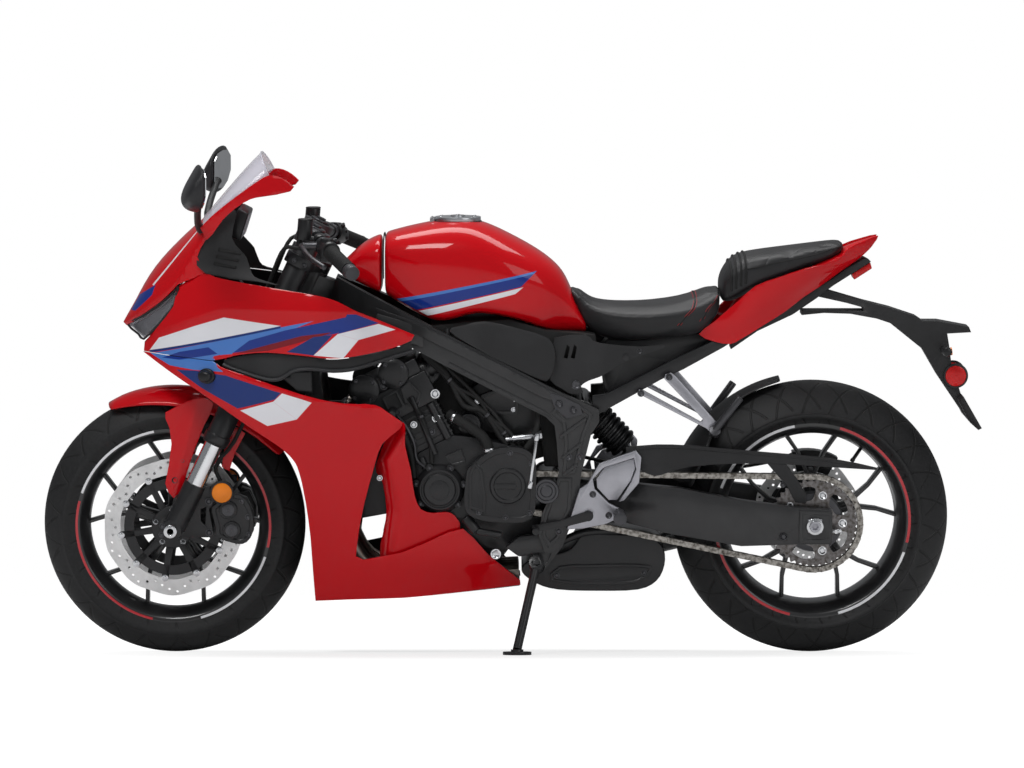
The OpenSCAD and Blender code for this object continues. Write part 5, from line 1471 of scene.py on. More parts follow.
def swell(piece: bpy.types.Object, most: float) -> None:
    """Blows a form up as cloth and keeps the result in its mesh.

    Args:
        piece: The form; its own modifiers are applied first.
        most: Greatest distance that a point may move, in metres.
    """
    old, piece.data = piece.data, evaluated(piece)
    bpy.data.meshes.remove(old)
    remesh = piece.modifiers.new("even", "REMESH")
    remesh.mode, remesh.voxel_size, remesh.use_smooth_shade = "VOXEL", PAD_VOXEL, True
    even = piece.data = evaluated(piece)
    start = [v.co.copy() for v in even.vertices]
    cloth = piece.modifiers.new("cloth", "CLOTH").settings
    cloth.use_pressure = True
    cloth.uniform_pressure_force = PAD_PRESSURE
    cloth.quality = 5
    cloth.effector_weights.gravity = 0.0
    scene = bpy.context.scene
    for step in range(1, PAD_STEPS + 1):
        scene.frame_set(step)
    blown = evaluated(piece)
    for vert, home in zip(blown.vertices, start):
        move = vert.co - home
        if move.length > most:
            vert.co = home + move.normalized() * most
    piece.data = blown
    blown.polygons.foreach_set("use_smooth", [True] * len(blown.polygons))
    scene.frame_set(1)


@dataclass
class Wheel:
    """One wheel: tyre, spoked rim, brake discs and axle."""

    name: str
    body: Body
    axle: Flat
    tyre_radius: float
    tyre_half: float
    tread: str
    rim_half: float
    disc_radius: float
    disc_at: float
    hub_left: float
    hub_right: float
    spoke: float = 12.0

    def tyre(self) -> None:
        """Tyre with a round crown and a bead on the rim."""
        r, w = self.tyre_radius, self.tyre_half
        crown = [(r - 1.6 * (abs(k) / 7) ** 2.2 * (0.45 * w), w * 0.93 * k / 7) for k in range(-7, 8)]
        wall_low, bead = 228.0, 214.0
        drop = crown[0][0]
        outer = [(bead, -self.rim_half + 3), (wall_low, -self.rim_half - 2), (lerp(wall_low, drop, 0.5),
            -w + 2), (lerp(wall_low, drop, 0.85), -w * 0.995)]
        profile = outer + crown + [(a, -b) for a, b in reversed(outer)]
        smooth = smooth_line(profile, 2)
        inner = [(bead + 4, self.rim_half - 10), (bead + 30, w - 14), (r - 12 - w * 0.25, w * 0.5),
            (r - 14, 0), (r - 12 - w * 0.25, -w * 0.5), (bead + 30, -w + 14), (bead + 4, -self.rim_half + 10)]
        Shape().lathe(self.axle, smooth + inner, 120).done(self.name + "_tyre_skin", self.tread, self.body,
            [self.name + "_tyre"], crease=60)

    def barrel(self) -> None:
        """Rim barrel with its flanges, five split spokes, the hub and the valve."""
        h = self.rim_half
        profile = [(226, -h), (228, -h + 3), (219, -h + 7), (214, -h + 10), (211, -h + 22),
            (200, -h * 0.5 + 4), (198, 0), (200, h * 0.5 - 4), (211, h - 22), (214, h - 10), (219, h - 7),
            (228, h - 3), (226, h), (217, h), (212, h - 3), (205, h - 14), (196, h * 0.5), (192, 0),
            (196, -h * 0.5), (205, -h + 14), (212, -h + 3), (217, -h)]
        rim = Shape().lathe(self.axle, profile, 120)
        left, right, thick = -self.hub_left, self.hub_right, self.spoke
        rim.lathe(self.axle, [(16, left), (33, left), (36, left + 3), (41, -thick - 6), (44, -thick),
            (44, thick), (41, thick + 6), (36, right - 3), (33, right), (16, right)], 64)
        for k in range(5):
            middle = 18 + 72 * k
            for way in (-1, 1):
                arm = ((36, -4), (104, 2.2), (150, 9.4), (203, 16.1), (203, 18.9), (150, 12.8), (104, 8.0),
                    (36, 24))
                rim.prism([polar(self.axle, r, middle + way * turn) for r, turn in arm], -thick, thick, 3, 3)
            web = ((40, -16), (96, -5), (112, -2.5), (112, 2.5), (96, 5), (40, 16))
            rim.prism(around(self.axle, web, middle), -thick + 3, thick - 3, 3, 2, 5, 2.5)
        rim.done(self.name + "_rim", self.name + "_rim_paint", self.body, [self.name + "_wheel_rim"],
            crease=34)
        foot, head, tip = (polar_3d(self.axle, r, 54, y) for r, y in ((197, -6), (165, -14), (157, -16)))
        valve = Shape().bar(foot, head, 4.2, 0.8, 16).bar(head, tip, 5.2, 1, 16)
        valve.done(self.name + "_valve", "smooth_plastic", self.body)

    def disc(self, side: int, inner: float, name: str, floats: int = 10,
            replaces: Sequence[str] = ()) -> None:
        """Brake disc with a waved rim, drilled band, dark carrier and floating buttons.

        Args:
            side: 1 or -1, the side of the bike.
            inner: Inner radius of the band.
            name: Name of the piece.
            floats: Number of buttons.
            replaces: CAD nodes that it stands for.
        """
        outer, y = self.disc_radius, side * self.disc_at
        bm = bmesh.new()
        steps, waves, half, holes_in_band, hole_radius = 180, 10, 2.4, 50, 3.1
        rows = []
        for radius, wave in ((outer, 3.2), (inner, 2.0)):
            row = []
            for k in range(steps):
                a = 360 * k / steps
                r = radius - wave * (0.5 + 0.5 * math.cos(math.radians(a * waves)))
                x, z = polar(self.axle, r, a)
                row.append(bm.verts.new((x, y - half, z)))
            rows.append([bm.edges.new((row[i], row[(i + 1) % steps])) for i in range(steps)])
        bmesh.ops.bridge_loops(bm, edges=rows[0] + rows[1])
        bmesh.ops.solidify(bm, geom=bm.faces, thickness=2 * half)
        bmesh.ops.recalc_face_normals(bm, faces=bm.faces)
        holes = Shape()
        band = outer - inner
        for k in range(holes_in_band):
            turn = 360 * k / holes_in_band
            spread = (0.2, 0.42, 0.64, 0.82, 0.5)[k % 5]
            x, z = polar(self.axle, inner + 3 + (band - 6) * spread, turn)
            holes.rod((x, z), hole_radius, y - 6, y + 6, sides=12)
        cut_with(Shape().take(bm).done(name, "rotor", self.body, replaces, crease=40), holes.plain("holes"))
        mid = inner - 16
        carrier = Shape().lathe(self.axle, [(30, y - 4), (46, y - 4), (48, y - 2), (48, y + 2), (46, y + 4),
            (30, y + 4)], 64)
        for k in range(floats):
            turn = 360 * k / floats + 9
            arm = ((44, -11), (mid - 22, -5), (inner + 3, -4), (inner + 3, 4), (mid - 22, 5), (44, 11))
            carrier.prism(around(self.axle, arm, turn), y - 2.2, y + 2.2, 0.8)
        carrier.lathe(self.axle, [(mid - 16, y - 2.2), (mid + 6, y - 2.2), (mid + 6, y + 2.2),
            (mid - 16, y + 2.2)], 96)
        carrier.done(name + "_carrier", "satin_black", self.body)
        buttons = Shape()
        for k in range(floats):
            spot = polar(self.axle, inner - 2, 360 * k / floats + 9)
            buttons.rod(spot, 8, y - 4.4, y + 4.4, 1.2, 20).rod(spot, 4.4, y - 5.4, y + 5.4, 0.6, 14)
        buttons.bolts(ring_of(self.axle, 40, 5, 18), y + side * 4, 6, 5)
        buttons.done(name + "_buttons", "bright_bolt", self.body)


def polar_3d(centre: Flat, radius: float, degrees: float, y: float) -> Spot:
    """Point on a circle at an offset."""
    x, z = polar(centre, radius, degrees)
    return (x, y, z)


def cut_with(piece: bpy.types.Object, cutter: bpy.types.Object) -> None:
    """Cuts one piece with another, keeps the result and removes the cutter."""
    cut = piece.modifiers.new("holes", "BOOLEAN")
    cut.operation, cut.object, cut.solver = "DIFFERENCE", cutter, "EXACT"
    old, piece.data = piece.data, evaluated(piece)
    bpy.data.meshes.remove(old)
    bpy.data.objects.remove(cutter)


@dataclass
class Wheels:
    """Both wheels, with the sprocket at the rear."""

    front: Wheel = field(default_factory=lambda: Wheel("front", Body.FRONT_WHEEL, STANCE.front_axle, 298.0,
        60, "front_tread", 50, 157, 66, 63, 63, 13))
    rear: Wheel = field(default_factory=lambda: Wheel("rear", Body.REAR_WHEEL, STANCE.rear_axle, 313.0, 90,
        "rear_tread", 76, 120, 99, 100, 96, 15))

    def sprocket(self) -> None:
        """Rear sprocket with its teeth, windows and nuts."""
        axle, y = self.rear.axle, -106.0
        teeth = []
        count = 42
        for k in range(count):
            for part, r in ((-0.28, 97.5), (-0.12, 101.0), (0.0, 101.6), (0.12, 101.0), (0.28, 97.5),
                    (0.5, 94.8)):
                teeth.append(polar(axle, r, 360 * (k + part) / count))
        wheel = Shape().prism(teeth, y - 3, y + 3)
        cutter = Shape()
        for k in range(5):
            window = ((56, -16), (80, -20), (85, 0), (80, 20), (56, 16), (52, 0))
            cutter.prism(smooth_line(around(axle, window, 72 * k + 36), 3, True), y - 12, y + 12)
        cutter.rod(axle, 31, y - 12, y + 12)
        piece = wheel.done("sprocket", "sprocket_steel", Body.REAR_WHEEL, ["rear_sprocket"])
        cut_with(piece, cutter.plain("windows"))
        carrier = Shape().lathe(axle, [(20, -110), (30, -110), (34, -103), (50, -102), (66, -98), (70, -80),
            (60, -62), (30, -58), (20, -58)], 72)
        for k in range(5):
            spot = polar(axle, 66, 72 * k)
            carrier.rod(spot, 13, -102.9, -70, 2)
        carrier.done("sprocket_carrier", "dark_metal", Body.REAR_WHEEL)
        Shape().bolts(ring_of(axle, 66, 5), -111, 7.5, 5).done("sprocket_nuts", "bright_bolt",
            Body.REAR_WHEEL)

    def build(self) -> None:
        """Builds both wheels."""
        for wheel in (self.front, self.rear):
            wheel.tyre()
            wheel.barrel()
        self.front.disc(-1, 120, "front_disc_left", replaces=["front_discs"])
        self.front.disc(1, 120, "front_disc_right")
        self.rear.disc(1, 88, "rear_disc_band", 6, ["rear_disc"])
        self.sprocket()


def dress(node: str, finish: str, bevel: float = 1.0) -> None:
    """Stands in for a CAD node under another name, with more of its edges shaded sharp."""
    stand_in(node, finish, bevel, node + "_form", 34)


@dataclass
class FrontEnd:
    """Fork, calipers, fender and handlebars."""

    leg_out: float = 104.0
    lead: float = 32.0

    def leg(self, z: float, x: float = 0.0, out: float = 0.0) -> Vector:
        """Point on a fork leg's axis, or ahead of it and outside it."""
        return STANCE.steering(-self.lead + x, -self.leg_out - out, z)

    def fork(self) -> None:
        """Fork legs, yokes and the pinch bolts of the feet."""
        dress("fork_sliders", "satin_black", 1.5)
        dress("fork_outer_tubes", "satin_black", 1.2)
        dress("triple_clamp", "satin_black", 2)
        dress("front_axle", "bright_bolt", 1)
        axle = STANCE.front_axle
        bolts = Shape()
        for x, z in ((-18, 12), (-20, -8)):
            bolts.bolt((axle[0] + x, -131, axle[1] + z), LEFT, 5, 4)
        for z in (486, 676):
            for x in (-12, 12):
                bolts.bolt(self.leg(z, x, 34.5), LEFT, 4.5, 4)
        bolts.pair("fork_bolts", "dark_metal", Body.STEERING)
        caps = Shape().bar(self.leg(757), self.leg(762), 23, 1.5, 32).bar(self.leg(762), self.leg(767), 11, 1,
            6)
        caps.pair("fork_caps", "dark_metal", Body.STEERING)
        chrome = Shape().bar(self.leg(118.5), self.leg(221), 21.2, 0, 48)
        chrome.pair("fork_stanchions", "chrome", Body.STEERING)
        seals = Shape().bar(self.leg(219), self.leg(226), 28, 2, 32)
        seals.pair("fork_seals", "seal", Body.STEERING)

    def calipers(self) -> None:
        """Front calipers with pistons, bridge bolts and pads."""
        axle = STANCE.front_axle
        body = Shape()
        outline = around(axle, ((104, -10), (150, -13), (172, -10), (184, -2), (187, 10), (182, 22),
            (166, 29), (148, 31), (106, 29), (98, 18), (100, 2)))
        body.prism(smooth_line(outline, 2, True), -97, -76, 4, 3, 9, 2.2)
        body.prism(around(axle, ((166, -8), (184, -3), (187, 10), (182, 22), (166, 27))), -78, -50, 3)
        body.prism(around(axle, ((110, -8), (182, -4), (186, 10), (180, 22), (110, 26))), -59, -42, 3)
        for turn in (-1, 19):
            spot = polar(axle, 136, turn)
            body.rod(spot, 20, -100.5, -80, 2.5)
        body.prism([(-650, 285), (-632, 282), (-632, 300), (-640, 345), (-632, 352), (-632, 371),
            (-646, 368)], -97, -86, 2)
        body.pair("caliper_bodies", "satin_black", Body.STEERING, ["front_calipers"])
        caps = Shape()
        for turn in (-1, 19):
            spot = polar(axle, 136, turn)
            caps.rod(spot, 14, -102.5, -99, 1).rod(spot, 5, -104, -102, 0.6, 6)
        caps.bolts([polar(axle, 175, -4), polar(axle, 175, 9), polar(axle, 173, 22)], -98, 5, 4)
        caps.bolts([(-640, 291), (-640, 362)], -100, 6.5, 6)
        caps.pair("caliper_bolts", "dark_metal", Body.STEERING)
        pads = Shape()
        for y in (-74, -61):
            pads.prism(around(axle, ((122, -6), (153, -5), (154, 23), (122, 24))), y, y + 3)
        pads.pair("brake_pads", "heated_steel", Body.STEERING)
        dress("fork_reflectors", "amber", 1.5)
        rim = Shape().lathe((axle[0] + 115, 383), [(23, -108), (26.5, -107), (27.5, -100.4), (23, -100.4)],
            40)
        rim.pair("reflector_rims", "black_plastic", Body.STEERING)

    def fender(self) -> None:
        """Front fender with its side cheeks and struts."""
        axle = STANCE.front_axle
        rows = []
        for k in range(15):
            a = lerp(34, 118, k / 14)
            width = 70 + 8 * math.sin(math.radians(lerp(10, 170, k / 14)))
            tip = 0.12 + 0.88 * math.sin(math.radians(lerp(24, 176, k / 14))) ** 0.6
            row = []
            for j in range(-8, 9):
                b = j / 8
                r = 317 - 42 * abs(b) ** 2.6 * tip - (0 if k < 14 else 3)
                x, z = polar(axle, r, a)
                row.append((x, width * tip ** 0.35 * b * (1 - 0.06 * abs(b)), z))
            rows.append(row)
        Shape().sheet(rows).done("fender_top", "red", Body.STEERING, ["front_fender"], wall=4, levels=1,
            fix=False)
        cheek = smooth_line([(-738, 562), (-716, 574), (-688, 588), (-655, 596), (-630, 582), (-640, 552)], 2)
        cheek += [(-652, 530), (-663, 502), (-675, 472), (-687, 436), (-697, 404), (-708, 380), (-721, 367),
            (-734, 382), (-740, 400), (-732, 440), (-725, 490), (-729, 526), (-738, 548)]

        def side(x: float, z: float) -> float:
            """Offset of the cheek, with a crease along its middle."""
            middle = line_at(((367, -721), (440, -706), (500, -690), (600, -664)), z)
            return 75.5 + 5.5 * max(0.0, 1 - abs(x - middle) / 26)

        Shape().panel(cheek, side, cell=6).pair("fender_cheeks", "red", Body.STEERING, wall=4, rim=1.2)
        strut = [(-606, 524), (-576, 528), (-558, 514), (-582, 470), (-595, 428), (-612, 438), (-606, 476)]
        Shape().panel(strut, lambda x, z: 76, cell=10).pair("fender_struts", "red", Body.STEERING, wall=4,
            rim=1)
        Shape().bolts([(-718, 408)], -79, 7, 5).bolts([(-700, 452)], -79.5, 4,
            3).pair("fender_bolts", "dark_metal", Body.STEERING)

    def bars(self) -> None:
        """Handlebars, grips, switches, levers and hoses."""
        dress("handlebars", "cast_grey", 1)
        dress("switchgear", "smooth_plastic", 2)
        dress("control_levers", "dark_metal", 1.5)
        dress("brake_hoses", "seal", 0)
        root = self.leg(744, 2, 27)
        along = Vector((82, -200, -54)).normalized()
        grip = Shape()
        start, end = 120, 238
        path, radii = [], []
        for k in range(60):
            s = lerp(start, end, k / 59)
            path.append(root + along * s)
            radii.append(17.4 if k in (0, 1, 58, 59) else 16.2 + 0.8 * (k % 2))
        grip.tube(path, radii, 28)
        grip.pair("grip_sleeves", "grip_rubber", Body.STEERING, ["grips"])
        switches = Shape()
        for s, up, r in ((88, 14, 6), (100, 2, 5), (106, -12, 5)):
            spot = root + along * s
            switches.bar(spot + Vector((10, 0, up)), spot + Vector((24, 0, up + 3)), r, 1.5, 16)
        switches.pair("switch_buttons", "grey_plastic", Body.STEERING)
        lid = root + along * 41
        cover = Shape().bar(lid + Vector((-30, 0, 47)), lid + Vector((-30, 0, 51)), 17.5, 2, 28)
        cover.pair("reservoir_lids", "black_plastic", Body.STEERING)

    def build(self) -> None:
        """Builds the front end."""
        self.fork()
        self.calipers()
        self.fender()
        self.bars()


@dataclass
class FrameAndEngine:
    """Main frame, engine, exhaust and what is bolted to them."""

    tilt: float = math.radians(27.5)
    crank: Flat = (-118, 395)
    clutch: Flat = (-20, 385)

    def spar(self) -> None:
        """Frame with recessed fields, pivot caps and bolts."""
        dress("main_frame", "frame_grey", 2.5)
        fields = Shape()
        fields.prism([(-178, 768), (-100, 731), (-96, 684), (-172, 722), (-230, 732), (-262, 756),
            (-258, 792)], -128, -120, 3)
        plate = [(156, 600), (196, 588), (226, 566), (208, 520), (186, 432), (158, 428), (163, 500),
            (158, 545), (132, 570)]
        fields.prism(plate, -139.5, -132, 2.5, 2, 7, 2.4)
        low = [(118, 338), (148, 422), (180, 422), (176, 352), (150, 284), (126, 262), (112, 292)]
        fields.prism(low, -139, -132, 2.5, 2, 7, 2)
        ridge = [(-262, 802), (-180, 776), (-100, 740), (118, 627), (166, 603), (150, 592), (110, 606),
            (-60, 694), (-160, 742), (-252, 776)]
        lip = [(-96, 684), (0, 634), (64, 602), (122, 572), (138, 552), (128, 562), (60, 594), (0, 624),
            (-98, 676)]
        for x0, z0, x1, z1 in ((152, 510, 212, 552), (156, 462, 202, 496), (158, 424, 192, 448)):
            fields.prism([(x0, z0), (x1, z1), (x1 - 2, z1 + 9), (x0, z0 + 9)], -141, -136, 1.5)
        fields.pair("frame_fields", "frame_grey")
        half = ((-300, 78), (-250, 102), (-200, 120), (-120, 134), (-40, 136), (240, 136))
        Shape().panel(ridge, lambda x, z: line_at(half, x) + 4.5,
            cell=9).pair("spar_ridges", "frame_grey", wall=9, rim=3.2)
        Shape().panel(lip, lambda x, z: line_at(half, x) + 2.5,
            cell=9).pair("spar_lips", "frame_grey", wall=6, rim=1.5)
        cover = Shape().prism([(128, 616), (162, 604), (196, 588), (204, 566), (168, 556), (140, 580)],
            -141.5, -138, 1.5, 2)
        cover.pair("plate_covers", "cast_grey")
        cap = Shape().lathe((122, 392), [(0.1, -144), (12, -144), (14, -142), (20, -142), (22, -145),
            (27, -145), (28.5, -143), (28.5, -134), (0.1, -134)], 48)
        cap.pair("pivot_caps", "dark_metal")
        bolts = Shape().bolts([(182, 576), (150, 590)], -143, 7, 5).bolts([(150, 300), (196, 470),
            (172, 470)], -141, 6, 4)
        bolts.bolts([(-140, 742), (-216, 752)], -131, 6, 4)
        bolts.pair("frame_bolts", "dark_metal")
        lower = Shape().prism([(30, 262), (60, 240), (118, 248), (140, 262), (138, 286), (112, 292),
            (60, 286)], -126, -96, 4)
        lower.pair("lower_lugs", "frame_grey")

    def engine(self) -> None:
        """Crankcase, covers, head and cylinder details."""
        dress("crankcase", "engine_black", 3)
        dress("cylinder_head", "engine_black", 3)
        dress("radiator", "satin_black", 2)
        axle = self.crank
        cover = Shape().lathe(axle, [(0.1, -143), (34, -143), (37, -140), (37, -137), (41, -137), (42, -141),
            (45, -141), (50, -134), (55, -128), (56, -118), (0.1, -118)], 72)
        for spot in ring_of(axle, 54, 7, 12):
            cover.rod(spot, 8.5, -134, -118, 1.5, 20)
        cover.prism([polar(axle, 22, a) for a in range(0, 360, 20)], -145, -142, 1)
        cover.done("alternator_cover", "engine_black", replaces=["engine_covers"])
        Shape().bolts(ring_of(axle, 54, 7, 12), -135, 5, 4).done("alternator_bolts", "dark_metal")
        side = smooth_line([(-40, 332), (20, 322), (88, 330), (98, 398), (95, 468), (60, 492), (2, 486),
            (-46, 452), (-58, 430), (-62, 360)], 3, True)
        Shape().prism(side, -150, -118, 6, 3, 12, 1.5).done("sprocket_cover", "engine_black")
        Shape().bolts([(-30, 345), (30, 334), (84, 344), (88, 456), (40, 480), (-34, 448)], -151.5, 5,
            4).done("cover_screws", "dark_metal")
        slot = Shape().lathe((35, 405), [(0.1, -151), (30, -151), (32, -153.5), (38, -153.5), (41, -150),
            (41, -146), (0.1, -146)], 64)
        slot.prism([(4, 399), (52, 397), (56, 405), (52, 413), (4, 411)], -152.5, -148, 1.5)
        slot.prism([(-52, 356), (-16, 344), (-14, 380), (-22, 440), (-40, 462), (-52, 430)], -153, -148, 2, 2,
            6, 1.2)
        slot.done("cover_ribs", "engine_black")
        clutch = Shape().lathe(self.clutch, [(0.1, 150), (40, 150), (62, 147), (72, 140), (78, 128),
            (78, 117), (0.1, 117)], 80)
        clutch.lathe(self.crank, [(0.1, 146), (34, 146), (46, 138), (48, 117), (0.1, 117)], 64)
        clutch.prism(smooth_line([(-60, 310), (60, 296), (96, 330), (96, 430), (60, 470), (-60, 440)], 3,
            True), 138, 117, 4)
        clutch.done("clutch_cover", "engine_black")
        Shape().bolts(ring_of(self.clutch, 69, 8, 10), 144, 4.5, 4).bolts(ring_of(self.crank, 40, 6), 142, 4,
            4).done("clutch_bolts", "dark_metal")
        fins = Shape()
        turn = Matrix.Translation((-110, 0, 400)) @ Matrix.Rotation(-self.tilt, 4, "Y")
        for k in range(6):
            rib = bmesh.new()
            bmesh.ops.create_cube(rib, size=1,
                matrix=turn @ Matrix.Translation((0, 0, 104 + 13 * k)) @ Matrix.Diagonal((153, 229, 4, 1)))
            fins.take(rib)
        for y in (-112, 112):
            for x in (-60, 60):
                pillar = bmesh.new()
                bmesh.ops.create_cone(pillar, cap_ends=True, segments=20, radius1=10, radius2=10, depth=88,
                    matrix=turn @ Matrix.Translation((x, y, 136)))
                fins.take(pillar)
        fins.done("cylinder_ribs", "engine_black")
        ends = Shape()
        for x, z in ((-222, 655), (-288, 618)):
            ends.lathe((x, z), [(0.1, -127), (20, -127), (30, -124), (34, -121), (35, -114), (0.1, -114)], 48)
        ends.pair("cam_ends", "engine_black")
        Shape().bolts(ring_of((-222, 655), 26, 4, 40) + ring_of((-288, 618), 26, 4, 40), -126, 4,
            3).pair("cam_bolts", "dark_metal")
        hose = [(-96, -108, 562), (-78, -122, 552), (-48, -126, 534), (-20, -126, 512), (-8, -126, 486),
            (-6, -124, 462)]
        Shape().tube(smooth_line(hose, 4), 12, 16).done("coolant_hose", "seal")
        clamps = Shape()
        for spot, toward in (((-84, -119, 555), (0.8, -0.5, -0.4)), ((-7, -126, 484), (0.1, 0, -1))):
            a = Vector(spot)
            d = Vector(toward).normalized() * 4
            clamps.bar(a - d, a + d, 14, 1, 24)
        clamps.done("hose_clamps", "bright_bolt")
        silver = Shape().bar((45, -118, 508), (100, -118, 514), 8, 1.5, 20).bar((98, -118, 514),
            (112, -118, 516), 11, 1, 6)
        silver.bar((30, -118, 506), (48, -118, 508), 5, 0.5, 12)
        silver.done("speed_sensor", "bare_metal")
        Shape().bolt((-125, -119, 555), LEFT, 8, 5).bolt((8, -119, 245), LEFT, 9,
            5).done("case_plugs", "bright_bolt")
        rod = Shape().bar((86, -150, 412), (100, -150, 515), 4, 0.5, 12)
        rod.bar((84, -150, 400), (87, -150, 416), 6.5, 1, 12).bar((99, -150, 508), (101, -150, 524), 6.5, 1,
            12)
        rod.done("shift_rod", "bright_bolt")
        self.bay()
        core = Shape()
        for k in range(22):
            z = 424 + 10.6 * k
            x = -397 - (z - 415) * 29 / 250
            core.prism([(x - 2, z), (x + 1, z), (x + 1, z + 3.2), (x - 2, z + 3.2)], -140, 140)
        core.done("radiator_fins", "cast_grey")

    def bay(self) -> None:
        """Throttle bodies, starter, air box, wiring and hoses behind the head."""
        box = Shape().prism(smooth_line([(-178, 742), (-60, 742), (60, 736), (110, 690), (96, 640), (40, 622),
            (-40, 646), (-110, 690), (-176, 716)], 2, True), -84, 84, 8, 3)
        box.done("air_box", "black_plastic")
        bodies = Shape()
        for y in (-78, -26, 26, 78):
            bodies.bar((-190, y, 640), (-92, y, 690), 21, 3, 28).bar((-160, y, 655), (-146, y, 662), 25, 1.5,
                28)
            bodies.bar((-120, y - 8, 654), (-152, y - 8, 618), 8, 1.5, 16)
        bodies.bar((-138, -98, 640), (-138, 98, 640), 8, 1, 20)
        bodies.done("throttle_bodies", "engine_black")
        case = Shape().prism([(-40, 520), (60, 500), (104, 512), (108, 600), (70, 622), (-20, 640),
            (-60, 610), (-56, 560)], -74, 74, 6, 3)
        case.prism([(-34, 600), (-4, 560), (56, 560), (62, 600), (10, 618)], -92, -70, 3, 2, 7, 1.5)
        case.done("bay_case", "engine_black")
        back = Shape().prism([(-176, 655), (-128, 706), (-40, 690), (60, 640), (150, 580), (150, 468),
            (60, 440), (-60, 440), (-92, 520)], -56, 56, 5)
        back.prism([(100, 610), (150, 585), (150, 440), (118, 440), (108, 520)], -88, -50,
            4).done("bay_backing", "seal")
        motor = Shape().bar((-52, -96, 536), (-52, 60, 536), 26, 4, 36).bar((-52, -100, 536), (-52, -92, 536),
            19, 2, 28)
        motor.done("starter", "satin_black")
        loom = Shape()
        for k, (dx, dz) in enumerate(((0, 0), (9, -6), (-8, 8), (16, 4))):
            path = [(-150 + dx, -96, 690 + dz), (-96 + dx, -104, 640 + dz * 2),
                (-50 + dx * 2, -100, 590 - dz), (-12 + dx, -106, 560 + dz), (26 + dx, -108, 520 - dz),
                (52 + dx * 2, -112, 486 + dz)]
            loom.tube(smooth_line(path, 4), 4.5 if k % 2 else 6.5, 10)
        loom.tube(smooth_line([(96, -104, 600), (104, -112, 560), (96, -118, 520), (76, -124, 486)], 4), 7,
            12)
        loom.tube(smooth_line([(-188, -120, 600), (-160, -126, 560), (-140, -124, 500), (-136, -122, 452)],
            4), 5, 10)
        loom.tube(smooth_line([(-240, -118, 560), (-200, -128, 520), (-182, -126, 470), (-176, -120, 420)],
            4), 6.5, 10)
        loom.done("bay_hoses", "seal")
        ties = Shape()
        for spot, way in (((-96, -104, 640), (0.7, 0, -0.7)), ((-12, -106, 560), (0.7, 0, -0.7)),
                ((26, -108, 520), (0.6, 0, -0.8)), ((-160, -126, 560), (0.3, 0, -0.9)), ((-200, -128, 520),
                (0.4, 0, -0.9))):
            a, d = Vector(spot), Vector(way).normalized() * 3
            ties.bar(a - d, a + d, 9.5, 1, 18)
        ties.done("bay_clips", "dark_metal")
        screws = Shape().bolts([(-34, 588), (48, 570), (52, 594)], -93, 4.5, 4)
        screws.bolt((-128, -124, 610), LEFT, 8, 6).bolt((-176, -121, 540), LEFT, 6, 5)
        screws.done("bay_bolts", "bright_bolt")
        head = Shape()
        c, s = math.cos(self.tilt), math.sin(self.tilt)
        for along in (-60, -14, 34):
            for up in (122, 196, 262):
                head.bolt((-110 + along * c - up * s, -119.5, 400 + along * s + up * c), LEFT, 6, 5)
        head.pair("head_bolts", "dark_metal")
        port = Shape()
        for y in (-84, -28, 28, 84):
            port.bar((-322, y, 555), (-334, y, 548), 27, 2, 8)
        port.done("header_flanges", "dark_metal")
        stay = Shape().bar((-182, -122, 604), (-128, -124, 474), 6.5, 1.5, 16)
        stay.prism([(-206, 622), (-186, 640), (-160, 612), (-170, 584), (-196, 588)], -124, -112, 2, 2, 4, 1)
        stay.prism([(-250, 600), (-214, 620), (-196, 580), (-232, 560)], -121, -112, 2, 2, 5, 1.2)
        stay.prism([(-214, 520), (-186, 534), (-172, 500), (-200, 486)], -121, -112, 2, 2, 5, 1.2)
        stay.bar((-210, -118, 470), (-196, -118, 440), 10, 2, 20).bar((-160, -120, 466), (-150, -122, 440), 8,
            1.5, 16)
        stay.prism([(-106, 470), (-70, 486), (-60, 456), (-92, 446)], -128, -116, 3, 2, 4, 1)
        stay.bar((-60, -126, 330), (-36, -130, 300), 12, 3, 20).bar((-36, -130, 300), (20, -128, 290), 8, 2,
            16)
        stay.done("head_stays", "engine_black")
        oil = Shape().tube(smooth_line([(-214, -118, 560), (-196, -126, 540), (-176, -128, 500),
            (-170, -128, 462), (-152, -132, 446)], 4), 4, 10)
        oil.tube(smooth_line([(-320, -100, 690), (-280, -112, 700), (-240, -108, 706), (-190, -100, 700)], 4),
            6, 10)
        oil.done("oil_lines", "dark_metal")
        plugs = Shape()
        for x, z in ((-262, 668), (-240, 680)):
            plugs.bar((x, -92, z), (x - 12, -92, z + 26), 9, 2, 20)
        plugs.done("coil_caps", "smooth_plastic")

